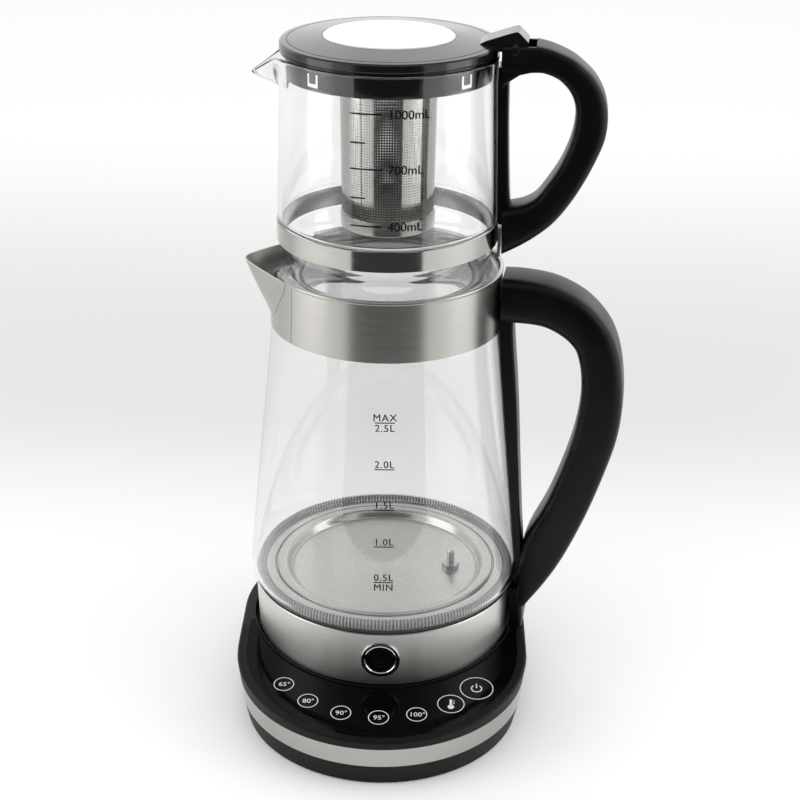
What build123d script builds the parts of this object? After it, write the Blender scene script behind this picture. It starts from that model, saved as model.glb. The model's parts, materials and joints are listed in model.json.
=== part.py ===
from build123d import *
import math
import os

os.makedirs("parts", exist_ok=True)

# Turn of each feature about the vertical axis, degrees from +X.
kettle_turn = -8.0
teapot_turn = -5.0
spout_turn = 172.0
lip_turn = 175.0

# Clearances.
skin_gap = 0.3
part_gap = 0.1
rest_gap = 0.2
run_fit = 0.05
turn_gap = 0.4

# Base: plan is a slot of two circles, one under the kettle and one in front of it.
plan_shift = 43.8
tray_low_z = 1.0
band_low_z = 14.5
band_top_z = 27.2
tray_low_r = 84.3
band_low_r = 87.3
band_top_r = 87.8
band_back_r = 86.6
housing_low_r = 88.4
housing_mid_r = 89.7
housing_mid_z = 37.0
wall_top_r = 89.2
wall_top_z = 42.0
wall = 2.0
front_rim_z = 33.0
panel_tilt = 5.0
panel_drop = 0.9
panel_thick = 2.0
panel_plan_r = 83.6
panel_plan_shift = 45.0
panel_inner_r = 83.8
panel_back_y = -20.0
well_r = 82.8
well_floor_z = 33.0
well_floor_thick = 2.2
rim_round = 1.4

# Cord store, feet and screws under the base.
hub_y = -21.9
hub_hole_r = 14.0
hub_flange_r = 34.0
hub_wall_r = 25.0
hub_flange_thick = 2.0
store_r = 66.0
store_roof_z = 12.0
gland_r = 4.6
channel_half = 5.0
channel_z = 8.5
gland_reach = 46.0
foot_r = 5.5
foot_top_z = 1.8
post_r = 3.8
post_ring_r = 76.5
screw_r = 1.4
screw_head_r = 2.9
screw_head_thick = 1.8
head_bore_r = 3.3

# Touch pads lie on a circle under the panel.
pad_ring_r = 73.9
pad_ring_y = -36.2
pad_angles = (-51.7, -35.1, -17.6, 0.0, 17.6, 35.1, 51.7)
pad_r = (5.2, 5.2, 5.2, 5.2, 5.2, 7.0, 8.6)
pad_height = 3.0
board_thick = 1.6
power_board_z = 20.0
power_post_x = 30.0
power_post_y = (18.0, 54.0)
board_post_x = 68.0
board_post_y = -66.0

# Round coupling between base and kettle.
plug_r = 11.0
plug_top_z = 50.0
plug_flange_r = 19.0
plug_flange_thick = 1.4
plug_grooves = ((9.8, 8.0), (6.2, 3.4))
plug_groove_depth = 9.0
plug_depth = 8.0
socket_r = 16.0
socket_top_z = 58.0
socket_flange_r = 20.0

# Kettle.
foot_ring_r = 79.6
foot_ring_inner_r = 73.0
skirt_low_z = 36.6
skirt_low_r = 80.0
skirt_top_z = 73.0
skirt_top_r = 81.4
sheet = 0.8
cover_floor_z = 36.0
cover_top_z = 46.0
glass_low_z = 75.6
glass_bulge_z = 81.0
glass_bulge_r = 84.0
cone_low_z = 100.0
cone_low_r = 82.3
collar_low_z = 242.5
cone_top_r = 67.9
glass_neck_r = 66.3
glass_top_z = 264.0
glass_wall = 2.6
glass_flange_r = 74.0
collar_low_r = 68.7
collar_top_z = 278.6
collar_top_r = 67.5
collar_roll_r = 1.2
seal_low_z = 248.0
seal_top_z = 262.0
spout_tip_r = 84.6

# Kettle floor.
plate_z = 74.4
plate_flat_r = 54.0
groove_r = 58.8
groove_z = 72.0
plate_rim_r = 72.0
plate_rim_z = 79.0
spreader_r = 51.0
spreader_thick = 6.0
element_ring_r = 31.0
element_r = 3.4
element_gap_angle = 40.0
terminal_length = 9.0
sensor_x = 41.7
sensor_y = -3.0
sensor_r = 2.4
sensor_top_z = 87.0
sensor_nut_across = 9.5
sensor_nut_thick = 3.0
stud_ring_r = 64.0
stud_r = 3.2

# Round window on the skirt.
window_z = 54.9
window_r = 11.8
window_lens_r = 8.5
window_hole_r = 10.0
window_stand = 1.3

# Kettle handle, radius and height in its own plane.
grip_width = 32.0
spine_width = 17.5
shoe_width = 28.0
grip_outer = (
    (70.0, 273.6),
    (95.7, 272.4),
    (118.3, 262.4),
    (134.7, 242.9),
    (142.4, 203.0),
    (134.5, 154.7),
    (113.7, 97.1),
    (91.0, 60.0),
)
grip_gap = (
    (77.4, 248.8),
    (96.0, 247.0),
    (112.7, 235.5),
    (117.2, 207.0),
    (107.8, 151.8),
    (90.4, 110.0),
)
spine_face = ((75.8, 240.0), (79.8, 200.8), (84.9, 124.6), (89.0, 66.0))
shoe_r = 90.3
shoe_low_z = 43.6
cover_start_r = 86.0
cover_depth = 3.6
cover_low_z = 66.0
grip_wall = 3.0
grip_soften = 3.0
skin_round = 2.4
grip_centre = (98.0, 180.0)

# Teapot.
pot_floor_z = 270.0
pot_floor_r = 52.0
pot_foot_r = 57.5
pot_foot_z = 274.4
pot_curve_r = 60.0
pot_curve_z = 285.0
pot_waist_r = 63.0
pot_waist_z = 293.6
band_z = 294.4
band_end_z = 305.9
band_r = 64.0
pot_low_r = 63.5
pot_low_z = 307.4
pot_high_r = 61.0
pot_high_z = 385.0
pot_rim_r = 61.3
pot_rim_z = 401.5
pot_wall = 2.4
lip_wall = 1.8
lip_sections = ((54.0, 27.0, 368.0), (64.0, 12.5, 380.6), (77.6, 3.2, 386.6))
lip_top_slope = 27.0

# Teapot handle and lid hinge.
pot_grip_width = 25.0
pot_spine_width = 15.0
pot_outer = (
    (81.0, 409.2),
    (101.8, 402.5),
    (115.0, 391.0),
    (122.4, 371.0),
    (118.2, 347.5),
    (104.0, 319.5),
    (84.0, 298.3),
    (66.7, 287.7),
)
pot_gap = (
    (69.6, 392.0),
    (80.5, 394.4),
    (94.2, 390.5),
    (104.3, 371.0),
    (98.0, 341.6),
    (86.0, 317.0),
    (72.5, 313.6),
)
pot_spine_face = ((67.0, 394.0), (67.7, 367.0), (69.4, 330.0), (71.0, 308.0))
pot_cover_depth = 3.0
pot_cover_low_z = 306.0
pot_centre = (86.0, 356.0)
pin_x = 70.0
pin_z = 406.5
pin_r = 2.3
ear_front_r = 62.9
ear_top_z = 408.4
slot_end_r = 81.4
slot_floor_z = 397.4
lever_width = 18.0
lever_gap = 0.5
lever_root_r = 50.0
lever_ridge_z = 416.0
knuckle_r = 4.4

# Lid and infuser.
lid_low_z = 403.0
lid_edge_z = 407.8
lid_r = 60.8
lid_skin = 2.2
disc_r = 36.5
disc_top_z = 410.7
disc_thick = 1.0
liner_r = 51.5
liner_low_z = 396.5
ring_low_z = 388.9
ring_r = 57.6
ring_inner_r = 53.4
ring_ledge_r = 50.5
ring_ledge_top_z = 391.4
clip_width = 7.0
clip_height = 8.0
clip_slot = 1.3
clip_z = 395.6
clip_turns = (45.0, 135.0, 225.0, 315.0)
basket_top_r = 27.6
basket_low_r = 26.4
basket_sheet = 0.6
basket_low_z = 302.3
base_low_z = 301.5
base_top_z = 309.7


def slot_face(radius, z, shift=plan_shift):
    return Pos(0, -shift / 2, z) * Rot(0, 0, 90) * SlotCenterToCenter(shift, 2 * radius)


def slot_block(radius, low, high, shift=plan_shift):
    return extrude(slot_face(radius, low, shift), high - low)


def slot_taper(low_r, low_z, high_r, high_z):
    return loft([slot_face(low_r, low_z), slot_face(high_r, high_z)], ruled=True)


def turned(*points):
    return revolve(Plane.XZ * make_face(Polyline(*points, close=True)), Axis.Z)


def tube(outer, inner, low, high):
    return turned((inner, low), (outer, low), (outer, high), (inner, high))


def drum(radius, low, high):
    return Pos(0, 0, low) * extrude(Circle(radius), high - low)


def block(low, high):
    size = [b - a for a, b in zip(low, high)]
    centre = [(a + b) / 2 for a, b in zip(low, high)]
    return Pos(*centre) * Box(*size)


def spun(shape, angle):
    return Rot(0, 0, angle) * shape


def around(shape, angles):
    return [spun(shape, angle) for angle in angles]


def plate_cut(face, width):
    return extrude(Plane.XZ * face, width / 2, both=True)


def inset(points, depth):
    moved = []
    last = len(points) - 1
    for index, (x, z) in enumerate(points):
        before = points[max(index - 1, 0)]
        after = points[min(index + 1, last)]
        run_x = after[0] - before[0]
        run_z = after[1] - before[1]
        length = math.hypot(run_x, run_z)
        moved.append((x + depth * run_z / length, z - depth * run_x / length))
    return moved


def softened(shape, edges, radius):
    for size in (radius, radius * 0.6, radius * 0.3):
        try:
            result = fillet(edges, size)
        except Exception:
            continue
        if result.is_valid:
            return result
    return shape


def rim_z(y):
    front_y = -plan_shift - band_top_r
    return front_rim_z + (y - front_y) * math.tan(math.radians(panel_tilt))


def above_tilt(drop):
    reach = 200.0
    front = -plan_shift - housing_mid_r - 1
    back = 150.0
    low = rim_z(front) - drop
    high = rim_z(back) - drop
    side = Polyline((front, low), (back, high), (back, reach), (front, reach), close=True)
    return extrude(Plane.YZ * make_face(side), reach, both=True)


def foot_places():
    back = [(77.0, turn) for turn in (45.0, 135.0)]
    places = [Pos(r * math.cos(math.radians(a)), r * math.sin(math.radians(a)), 0) for r, a in back]
    for angle in (-35.0, -90.0, -145.0):
        x = 76.0 * math.cos(math.radians(angle))
        y = 76.0 * math.sin(math.radians(angle)) - plan_shift
        places.append(Pos(x, y, 0))
    return places


def base_screw_places():
    places = []
    for angle, shift in ((20.0, 0.0), (160.0, 0.0), (-72.0, plan_shift), (-108.0, plan_shift)):
        x = post_ring_r * math.cos(math.radians(angle))
        y = post_ring_r * math.sin(math.radians(angle)) - shift
        places.append(Pos(x, y, 0))
    return places


def base_tray():
    shell = slot_taper(tray_low_r, tray_low_z, band_low_r, band_low_z)
    shell += slot_block(band_back_r - part_gap, band_low_z, band_top_z)
    hollow = slot_taper(tray_low_r - wall, tray_low_z + wall, band_low_r - wall - 1, band_low_z)
    hollow += slot_block(band_low_r - wall - 1, band_low_z, band_top_z)
    shell -= hollow
    store = Pos(0, hub_y, 0) * drum(store_r, 0, store_roof_z)
    shell += Pos(0, hub_y, 0) * drum(store_r + wall, tray_low_z, store_roof_z + wall)
    for x in (-power_post_x, power_post_x):
        for y in power_post_y:
            shell += Pos(x, y, 0) * drum(2.4, tray_low_z + 1, power_board_z)
    shell -= store
    hub = tube(hub_flange_r, hub_hole_r, 0, hub_flange_thick)
    hub += tube(hub_wall_r, hub_wall_r - wall, 0, store_roof_z)
    shell += Pos(0, hub_y, 0) * hub
    shell -= gland_place() * drum(gland_r + part_gap, 0, store_roof_z + 5)
    mouth_y = hub_y + store_r - 2.0
    channel = block((-channel_half, mouth_y, 0), (channel_half, band_low_r + 5, channel_z))
    casing_half = channel_half + wall
    casing = block((-casing_half, mouth_y, tray_low_z), (casing_half, tray_low_r, channel_z + wall))
    shell = shell + casing - channel
    for place in foot_places():
        shell -= place * drum(foot_r, 0, foot_top_z)
    for place in base_screw_places():
        shell += place * drum(post_r + 1.2, tray_low_z, tray_low_z + wall + 2.4)
        shell -= place * drum(screw_r + 0.3, 0, band_low_z)
        shell -= place * drum(head_bore_r, 0, tray_low_z + screw_head_thick + 0.6)
    return shell


def base_feet():
    foot = drum(foot_r - part_gap, 0, foot_top_z)
    return [place * foot for place in foot_places()]


def base_band():
    ring = slot_taper(band_low_r, band_low_z, band_top_r, band_top_z)
    return ring - slot_block(band_back_r, band_low_z, band_top_z)


def base_housing():
    body = slot_taper(housing_low_r, band_top_z, housing_mid_r, housing_mid_z)
    body += slot_taper(housing_mid_r, housing_mid_z, wall_top_r, wall_top_z)
    body -= above_tilt(0)
    top_edges = [e for e in body.edges() if e.center().Z > front_rim_z - 1]
    top_edges = [e for e in top_edges if abs(e.center().Z - housing_mid_z) > 0.2]
    body = softened(body, top_edges, rim_round)
    ceiling = panel_drop + panel_thick + 1.6
    hollow = slot_block(band_back_r - 0.6, band_top_z, wall_top_z - wall) - above_tilt(ceiling)
    hollow -= drum(well_r + wall, band_top_z, wall_top_z)
    body -= hollow
    body -= drum(well_r + wall, band_top_z, well_floor_z - well_floor_thick)
    body -= drum(well_r, well_floor_z, wall_top_z + 1)
    panel = slot_block(panel_plan_r + part_gap, band_top_z, wall_top_z + 9, panel_plan_shift)
    panel -= drum(panel_inner_r - part_gap, 0, wall_top_z + 20)
    panel = panel & block((-150, -200, 0), (150, panel_back_y + part_gap, 90))
    body -= panel & above_tilt(panel_drop + panel_thick)
    lip = slot_block(band_low_r - wall - 1 - rest_gap, band_top_z - 3, band_top_z + 3)
    lip -= slot_block(band_low_r - wall - 2.5, band_top_z - 3, band_top_z + 3)
    body += lip
    for place in base_screw_places():
        post_low = tray_low_z + wall + 2.4 + part_gap
        post = place * drum(post_r, post_low, well_floor_z - well_floor_thick / 2)
        body += post - above_tilt(ceiling - 0.5)
        body -= place * drum(screw_r + run_fit, post_low, post_low + 12.0)
    for x in (-board_post_x, board_post_x):
        post = Pos(x, board_post_y, 0) * drum(2.6, band_top_z - 10, wall_top_z)
        body += (post - above_tilt(ceiling - 0.5)) & above_tilt(board_drop())
    body -= drum(plug_r + part_gap, 0, well_floor_z + 1)
    body += tube(plug_r + 4.0, plug_r + part_gap, well_floor_z - 5, well_floor_z)
    drain = spun(block((60, -3, 0), (66, 3, well_floor_z + 1)), 60)
    body -= drain
    return body


def control_panel():
    slab = slot_block(panel_plan_r, band_top_z, wall_top_z + 9, panel_plan_shift)
    slab -= drum(panel_inner_r, 0, wall_top_z + 20)
    slab = slab & block((-150, -200, 0), (150, panel_back_y, 90))
    return (slab & above_tilt(panel_drop + panel_thick)) - above_tilt(panel_drop)


def pad_places():
    spots = []
    for angle in pad_angles:
        turn = math.radians(angle)
        spots.append((pad_ring_r * math.sin(turn), pad_ring_y - pad_ring_r * math.cos(turn)))
    return spots


def pad_base(y):
    return rim_z(y) - panel_drop - panel_thick - 1.6 - pad_height


def touch_pads():
    pads = []
    for (x, y), radius in zip(pad_places(), pad_r):
        sleeve = tube(radius, radius - 1.2, 0, pad_height - part_gap)
        pads.append(Pos(x, y, pad_base(y)) * Rot(panel_tilt, 0, 0) * Pos(0, 0, -0.4) * sleeve)
    return pads


def board_drop():
    return panel_drop + panel_thick + 1.6 + pad_height + 0.8


def control_board():
    slab = slot_block(panel_plan_r - 4, 0, 90, panel_plan_shift) - drum(panel_inner_r + 4, 0, 90)
    slab = slab & block((-150, -200, 0), (150, -45, 90))
    top = board_drop()
    board = (slab & above_tilt(top + board_thick)) - above_tilt(top)
    for place in base_screw_places():
        board -= place * drum(post_r + 1, 0, 90)
    return board


def power_board():
    top = power_board_z + board_thick
    board = block((-34, 14, power_board_z), (34, 58, top))
    board += block((-26, 24, top), (-12, 44, 28.0))
    board += Pos(14, 34, 0) * drum(7.0, top, 28.5)
    board += block((25, 18, top), (31, 30, top + 4))
    return board


def base_connector():
    low = well_floor_z - plug_depth
    body = turned(
        (0, low),
        (plug_r, low),
        (plug_r, plug_top_z - 0.6),
        (plug_r - 0.6, plug_top_z),
        (0, plug_top_z),
    )
    for outer, inner in plug_grooves:
        body -= tube(outer, inner, plug_top_z - plug_groove_depth, plug_top_z + 1)
    return body + tube(plug_flange_r, plug_r - 1, well_floor_z, well_floor_z + plug_flange_thick)


def base_screws():
    shank_top = tray_low_z + wall + 2.4 + 8.0
    head_low = tray_low_z + 0.6
    screw = drum(screw_head_r, head_low, head_low + screw_head_thick)
    screw -= drum(1.0, 0, head_low + 0.9)
    screw += drum(screw_r, head_low + screw_head_thick, shank_top)
    return [place * screw for place in base_screw_places()]


def gland_place():
    return Pos(-gland_reach, hub_y, 0)


def cord_gland():
    inner_r = gland_r - 2.0
    body = tube(gland_r, inner_r, store_roof_z - 1.0, store_roof_z + wall + 4.0)
    body += tube(gland_r + 1.6, inner_r, store_roof_z - 1.6, store_roof_z)
    body += tube(gland_r + 1.2, inner_r, store_roof_z + wall, store_roof_z + wall + 1.2)
    return gland_place() * body


def skirt_r(z):
    share = (z - skirt_low_z) / (skirt_top_z - skirt_low_z)
    return skirt_low_r + share * (skirt_top_r - skirt_low_r)


def kettle_skirt():
    shell = turned(
        (skirt_low_r - sheet, skirt_low_z),
        (skirt_low_r, skirt_low_z),
        (skirt_top_r, skirt_top_z - 1.0),
        (skirt_top_r - 0.6, skirt_top_z),
        (glass_flange_r, skirt_top_z),
        (glass_flange_r, skirt_top_z - sheet),
        (skirt_top_r - sheet - 0.4, skirt_top_z - sheet),
    )
    shell -= window_axis() * extrude(Circle(window_hole_r), 20)
    for z in handle_screw_heights():
        shell -= radial_axis(z) * extrude(Circle(screw_r + 0.2), 20)
    return shell


def window_axis():
    return Plane((0, -70, window_z), x_dir=(1, 0, 0), z_dir=(0, -1, 0))


def handle_screw_heights():
    return (50.5, 62.0)


def radial_axis(z):
    turn = math.radians(kettle_turn)
    out = (math.cos(turn), math.sin(turn), 0)
    side = (-math.sin(turn), math.cos(turn), 0)
    return Plane((70 * out[0], 70 * out[1], z), x_dir=side, z_dir=out)


def kettle_glass():
    outer = [
        (glass_flange_r, glass_low_z),
        (80.0, glass_low_z),
        (82.6, 77.0),
        (83.8, 79.2),
        (glass_bulge_r, glass_bulge_z),
        (83.9, 85.0),
        (83.2, 92.0),
        (cone_low_r, cone_low_z),
        (cone_top_r, collar_low_z),
        (glass_neck_r + 0.2, collar_low_z + 3.0),
        (glass_neck_r, glass_top_z),
    ]
    inner = [
        (glass_neck_r - glass_wall, glass_top_z),
        (cone_top_r - glass_wall, collar_low_z),
        (cone_low_r - glass_wall, cone_low_z),
        (80.5, 92.0),
        (81.2, 85.0),
        (80.6, 80.6),
        (78.6, glass_low_z + glass_wall),
        (glass_flange_r, glass_low_z + glass_wall),
    ]
    return turned(*outer, *inner)


def glass_seal():
    body = tube(80.4, glass_flange_r, skirt_top_z, glass_low_z)
    body += tube(glass_flange_r, glass_flange_r - 1.6, skirt_top_z, glass_low_z + glass_wall)
    rib = block((79.6, -0.8, skirt_top_z + 0.3), (81.6, 0.8, glass_low_z))
    ribs = [spun(rib, 360 / 72 * step) for step in range(72)]
    return body + ribs


def heating_plate():
    top = [
        (0, plate_z),
        (plate_flat_r, plate_z),
        (groove_r - 2, groove_z + 0.3),
        (groove_r, groove_z),
        (groove_r + 2.5, groove_z + 0.6),
        (plate_rim_r - 4.5, plate_rim_z - 1.2),
        (plate_rim_r - 2.6, plate_rim_z),
        (78.0, plate_rim_z),
    ]
    low = [
        (78.0, plate_rim_z - sheet),
        (plate_rim_r - 2.0, plate_rim_z - sheet),
        (plate_rim_r - 3.6, plate_rim_z - 2.0),
        (groove_r + 3.2, groove_z - 0.3),
        (groove_r, groove_z - sheet),
        (groove_r - 2.4, groove_z - 0.5),
        (plate_flat_r - 0.2, plate_z - sheet),
        (0, plate_z - sheet),
    ]
    plate = turned(*top, *low)
    stud = Pos(stud_ring_r, 0, 0) * (drum(stud_r, 43, 74.5) - drum(screw_r + run_fit, 42, 60))
    plate += around(stud, stud_turns())
    return plate - sensor_bore(sensor_r + part_gap)


def stud_turns():
    return (30.0, 150.0, 270.0)


def sensor_bore(radius):
    return Pos(sensor_x, sensor_y, 0) * drum(radius, 50, 100)


def heat_spreader():
    top = plate_z - sheet
    body = drum(spreader_r, top - spreader_thick, top)
    body -= element_ring(element_r + run_fit)
    return body - sensor_bore(sensor_r + part_gap)


def element_centre_z():
    return plate_z - sheet - spreader_thick - 0.6


def element_ring(radius):
    section = Plane.XZ * Pos(element_ring_r, element_centre_z()) * Circle(radius)
    ring = revolve(section, Axis.Z, 360 - element_gap_angle)
    return spun(ring, 90 + element_gap_angle / 2)


def heating_element():
    ring = element_ring(element_r)
    for turn in (90 + element_gap_angle / 2, 90 - element_gap_angle / 2):
        x = element_ring_r * math.cos(math.radians(turn))
        y = element_ring_r * math.sin(math.radians(turn))
        leg_low = element_centre_z() - terminal_length
        leg = Pos(x, y, leg_low) * extrude(Circle(element_r * 0.72), terminal_length)
        tab = Pos(x, y, leg_low - 6) * Box(0.9, 5.6, 8, align=(Align.CENTER, Align.CENTER, Align.MIN))
        ring = ring + leg + tab
    return ring


def temperature_sensor():
    body = drum(sensor_r, 62.0, sensor_top_z - 1.2)
    body += Pos(0, 0, sensor_top_z - 1.2) * Cone(
        sensor_r, sensor_r - 1.0, 1.2, align=(Align.CENTER, Align.CENTER, Align.MIN)
    )
    body += drum(sensor_r + 1.6, 59.0, 62.0)
    return Pos(sensor_x, sensor_y, 0) * body


def sensor_nut():
    across = RegularPolygon(sensor_nut_across / 2, 6, major_radius=False)
    nut = Pos(sensor_x, sensor_y, plate_z) * extrude(across, sensor_nut_thick)
    washer = Pos(sensor_x, sensor_y, 0) * drum(sensor_nut_across / 2 + 0.6, plate_z, plate_z + 0.8)
    return nut + washer - sensor_bore(sensor_r + part_gap)


def kettle_base_cover():
    body = turned(
        (socket_r + rest_gap + 0.1, cover_floor_z),
        (foot_ring_inner_r, cover_floor_z),
        (foot_ring_inner_r, well_floor_z),
        (foot_ring_r - 0.8, well_floor_z),
        (foot_ring_r, well_floor_z + 0.8),
        (foot_ring_r, skirt_low_z),
        (skirt_low_r - sheet - part_gap, skirt_low_z),
        (skirt_low_r - sheet - part_gap, cover_top_z),
        (skirt_low_r - sheet - part_gap - wall, cover_top_z),
        (skirt_low_r - sheet - part_gap - wall, cover_floor_z + wall),
        (socket_r + rest_gap + 0.1, cover_floor_z + wall),
    )
    ribs = []
    for turn in range(0, 360, 45):
        ribs.append(spun(block((26, -0.8, cover_floor_z + 1), (74, 0.8, cover_top_z - 4)), turn + 7.5))
    body += ribs
    for turn in stud_turns():
        at = spun(Pos(stud_ring_r, 0, 0) * drum(head_bore_r + 1.6, cover_floor_z, 43 - part_gap), turn)
        body += at
        body -= spun(Pos(stud_ring_r, 0, 0) * drum(screw_r + 0.2, 30, 60), turn)
        body -= spun(Pos(stud_ring_r, 0, 0) * drum(head_bore_r, 30, cover_floor_z + 2.4), turn)
    body -= block((70, -5, cover_floor_z + 2.4), (90, 5, cover_top_z + 1))
    body -= window_axis() * extrude(Circle(window_r + 1), 14)
    for z in handle_screw_heights():
        body -= radial_axis(z) * extrude(Circle(screw_head_r + 0.6), 12)
    return body


def kettle_connector():
    inner = plug_r + turn_gap
    body = tube(socket_r, inner, well_floor_z + 2.0, socket_top_z)
    body += drum(socket_r, plug_top_z + 3.0, socket_top_z)
    body += tube(socket_flange_r, socket_r - 1, cover_floor_z + wall + skin_gap, 40.6)
    body += tube(inner + 0.5, 9.2, plug_top_z + 0.6, plug_top_z + 3.5)
    return body


def kettle_base_screws():
    head_top = cover_floor_z + 2.3
    screw = drum(screw_head_r, head_top - screw_head_thick, head_top)
    screw -= drum(1.0, 0, head_top - 0.9)
    screw += drum(screw_r, head_top, 55.0)
    return around(Pos(stud_ring_r, 0, 0) * screw, stud_turns())


def skirt_body(gap):
    return turned(
        (0, skirt_low_z - 9),
        (skirt_low_r + gap, skirt_low_z - 9),
        (skirt_low_r + gap, skirt_low_z),
        (skirt_top_r + gap, skirt_top_z),
        (0, skirt_top_z),
    )


def indicator_bezel():
    axis = window_axis()
    reach = skirt_r(window_z) - 70 + window_stand
    flange = axis * extrude(Circle(window_r), reach)
    rim = [e for e in flange.edges() if e.center().Y < -70 - reach + 0.1]
    flange = softened(flange, rim, 0.7)
    body = flange - skirt_body(part_gap)
    body += axis * Pos(0, 0, 3.0) * extrude(Circle(window_hole_r - part_gap), reach - 4.0)
    body -= axis * extrude(Circle(window_lens_r), 40)
    lock = axis * Pos(0, 0, 3.0) * extrude(Circle(window_lens_r + 0.4), 4.0)
    return body - lock


def indicator_lens():
    axis = window_axis()
    reach = skirt_r(window_z) - 70 + window_stand - 0.6
    lens = axis * Pos(0, 0, reach - 3.0) * extrude(Circle(window_lens_r - part_gap), 3.0)
    rim = [e for e in lens.edges() if e.center().Y < -70 - reach + 0.1]
    return softened(lens, rim, 0.8)


def indicator_board():
    axis = window_axis()
    board = axis * Pos(0, 0, -1.0) * extrude(Rectangle(20, 14), 1.6)
    lamp = axis * Pos(0, 0, 0.5) * extrude(Circle(2.4), 3.4)
    leg = axis * Pos(0, 0, -2.0) * extrude(Rectangle(6, 5), 1.5)
    return board + lamp + leg


def collar_r(z):
    share = (z - collar_low_z) / (collar_top_z - collar_low_z)
    return collar_low_r + share * (collar_top_r - collar_low_r)


def kettle_collar():
    roll_z = collar_top_z - collar_roll_r
    shell = turned(
        (collar_low_r - sheet, collar_low_z),
        (collar_low_r, collar_low_z),
        (collar_r(roll_z), roll_z),
        (collar_r(roll_z) - sheet, roll_z),
    )
    roll = Pos(collar_top_r - collar_roll_r + 0.4, roll_z) * Circle(collar_roll_r)
    lip = revolve(Plane.XZ * roll, Axis.Z)
    shell += lip
    return shell - spun(spout_cone(sheet + 0.2) + spout_mouth(), spout_turn)


def spout_plan(depth):
    corner_x = 52.0
    corner_y = 42.5 - depth * 1.4
    tip_x = spout_tip_r - depth * 1.6
    line = Polyline((20.0, 0.0), (corner_x, corner_y), (tip_x, 0.0), (corner_x, -corner_y), close=True)
    face = make_face(line)
    tip = face.vertices().sort_by(Axis.X)[-1]
    return fillet(tip, 5.0 - depth)


def spout_cone(depth):
    apex_z = collar_low_z + 2.6 + depth * 2.2
    top = Pos(0, 0, 274.0) * spout_plan(depth)
    return loft([Vertex(collar_r(apex_z) - 0.3 - depth, 0, apex_z), top.face()])


def spout_mouth():
    return Pos(0, 0, 273.9) * extrude(spout_plan(sheet + 0.2), 9)


def kettle_spout():
    sheet_body = spout_cone(0) - spout_cone(sheet + 0.2)
    sheet_body -= turned(
        (0, collar_low_z - 5),
        (collar_low_r + part_gap + 0.2, collar_low_z - 5),
        (collar_low_r + part_gap, collar_low_z),
        (collar_top_r + part_gap, collar_top_z),
        (0, collar_top_z),
    )
    solids = sheet_body.solids().sort_by(SortBy.VOLUME)
    return spun(solids[-1], spout_turn)


def collar_seal():
    inner = glass_neck_r + 0.3
    outer = collar_r(seal_top_z) - sheet - part_gap
    return tube(outer, inner, seal_low_z, seal_top_z)


def mouth_ring():
    hang = glass_neck_r - glass_wall - skin_gap
    ring = turned(
        (50.0, pot_floor_z - 3.0),
        (hang - 1.8, pot_floor_z - 9.0),
        (hang - 1.8, pot_floor_z - 14.0),
        (hang, pot_floor_z - 14.0),
        (hang, glass_top_z),
        (65.4, glass_top_z),
        (65.4, 276.0),
        (61.6, 277.0),
        (60.9, 276.0),
        (58.6, pot_foot_z - 2.0),
        (58.0, pot_floor_z),
        (50.0, pot_floor_z),
    )
    notch = spun(block((58.7, -26, glass_top_z), (90, 26, 300)), spout_turn)
    return ring - notch


def kettle_envelope(gap):
    return turned(
        (0, 30),
        (skirt_low_r + gap, 30),
        (skirt_low_r + gap, skirt_low_z),
        (skirt_top_r + gap, skirt_top_z),
        (glass_bulge_r + gap, 77.0),
        (glass_bulge_r + gap, 84.5),
        (83.3 + gap, 92.0),
        (cone_low_r + gap, cone_low_z),
        (collar_low_r + gap, collar_low_z - 8.0),
        (collar_low_r + gap, collar_low_z),
        (collar_top_r + gap, collar_top_z),
        (collar_top_r + gap, 290),
        (0, 290),
    )


def grip_face(outer, gap, foot):
    top_left = (foot[0], outer[0][1])
    gap_left = (foot[0], gap[0][1])
    edges = [
        Spline(*outer),
        Polyline(outer[-1], (foot[1], outer[-1][1]), (foot[1], gap[-1][1]), gap[-1]),
        Spline(*reversed(gap)),
        Polyline(gap[0], gap_left, top_left, outer[0]),
    ]
    return make_face(Curve() + edges)


def skin_face(outer, depth, start, low):
    inner = inset(outer, depth)
    reach = 300.0
    keep = Pos(start + reach, low + reach) * Rectangle(2 * reach, 2 * reach)
    loop = [Spline(*outer), Line(outer[-1], inner[-1]), Spline(*reversed(inner)), Line(inner[0], outer[0])]
    return make_face(Curve() + loop) & keep


def flank_edges(body, width, centre):
    x, z = centre
    flank = [e for e in body.edges() if e.length > 60 and abs(abs(e.center().Y) - width / 2) < 0.1]
    return sorted(flank, key=lambda e: math.hypot(e.center().X - x, e.center().Z - z))


def handle_skin(outer, depth, start, low, width, centre):
    body = plate_cut(skin_face(outer, depth, start, low), width)
    return softened(body, flank_edges(body, width, centre)[-2:], skin_round)


def handle_core(outer, gap, foot, skin, width, centre):
    body = plate_cut(grip_face(outer, gap, foot) - skin, width)
    return softened(body, flank_edges(body, width, centre)[:2], grip_soften)


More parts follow.
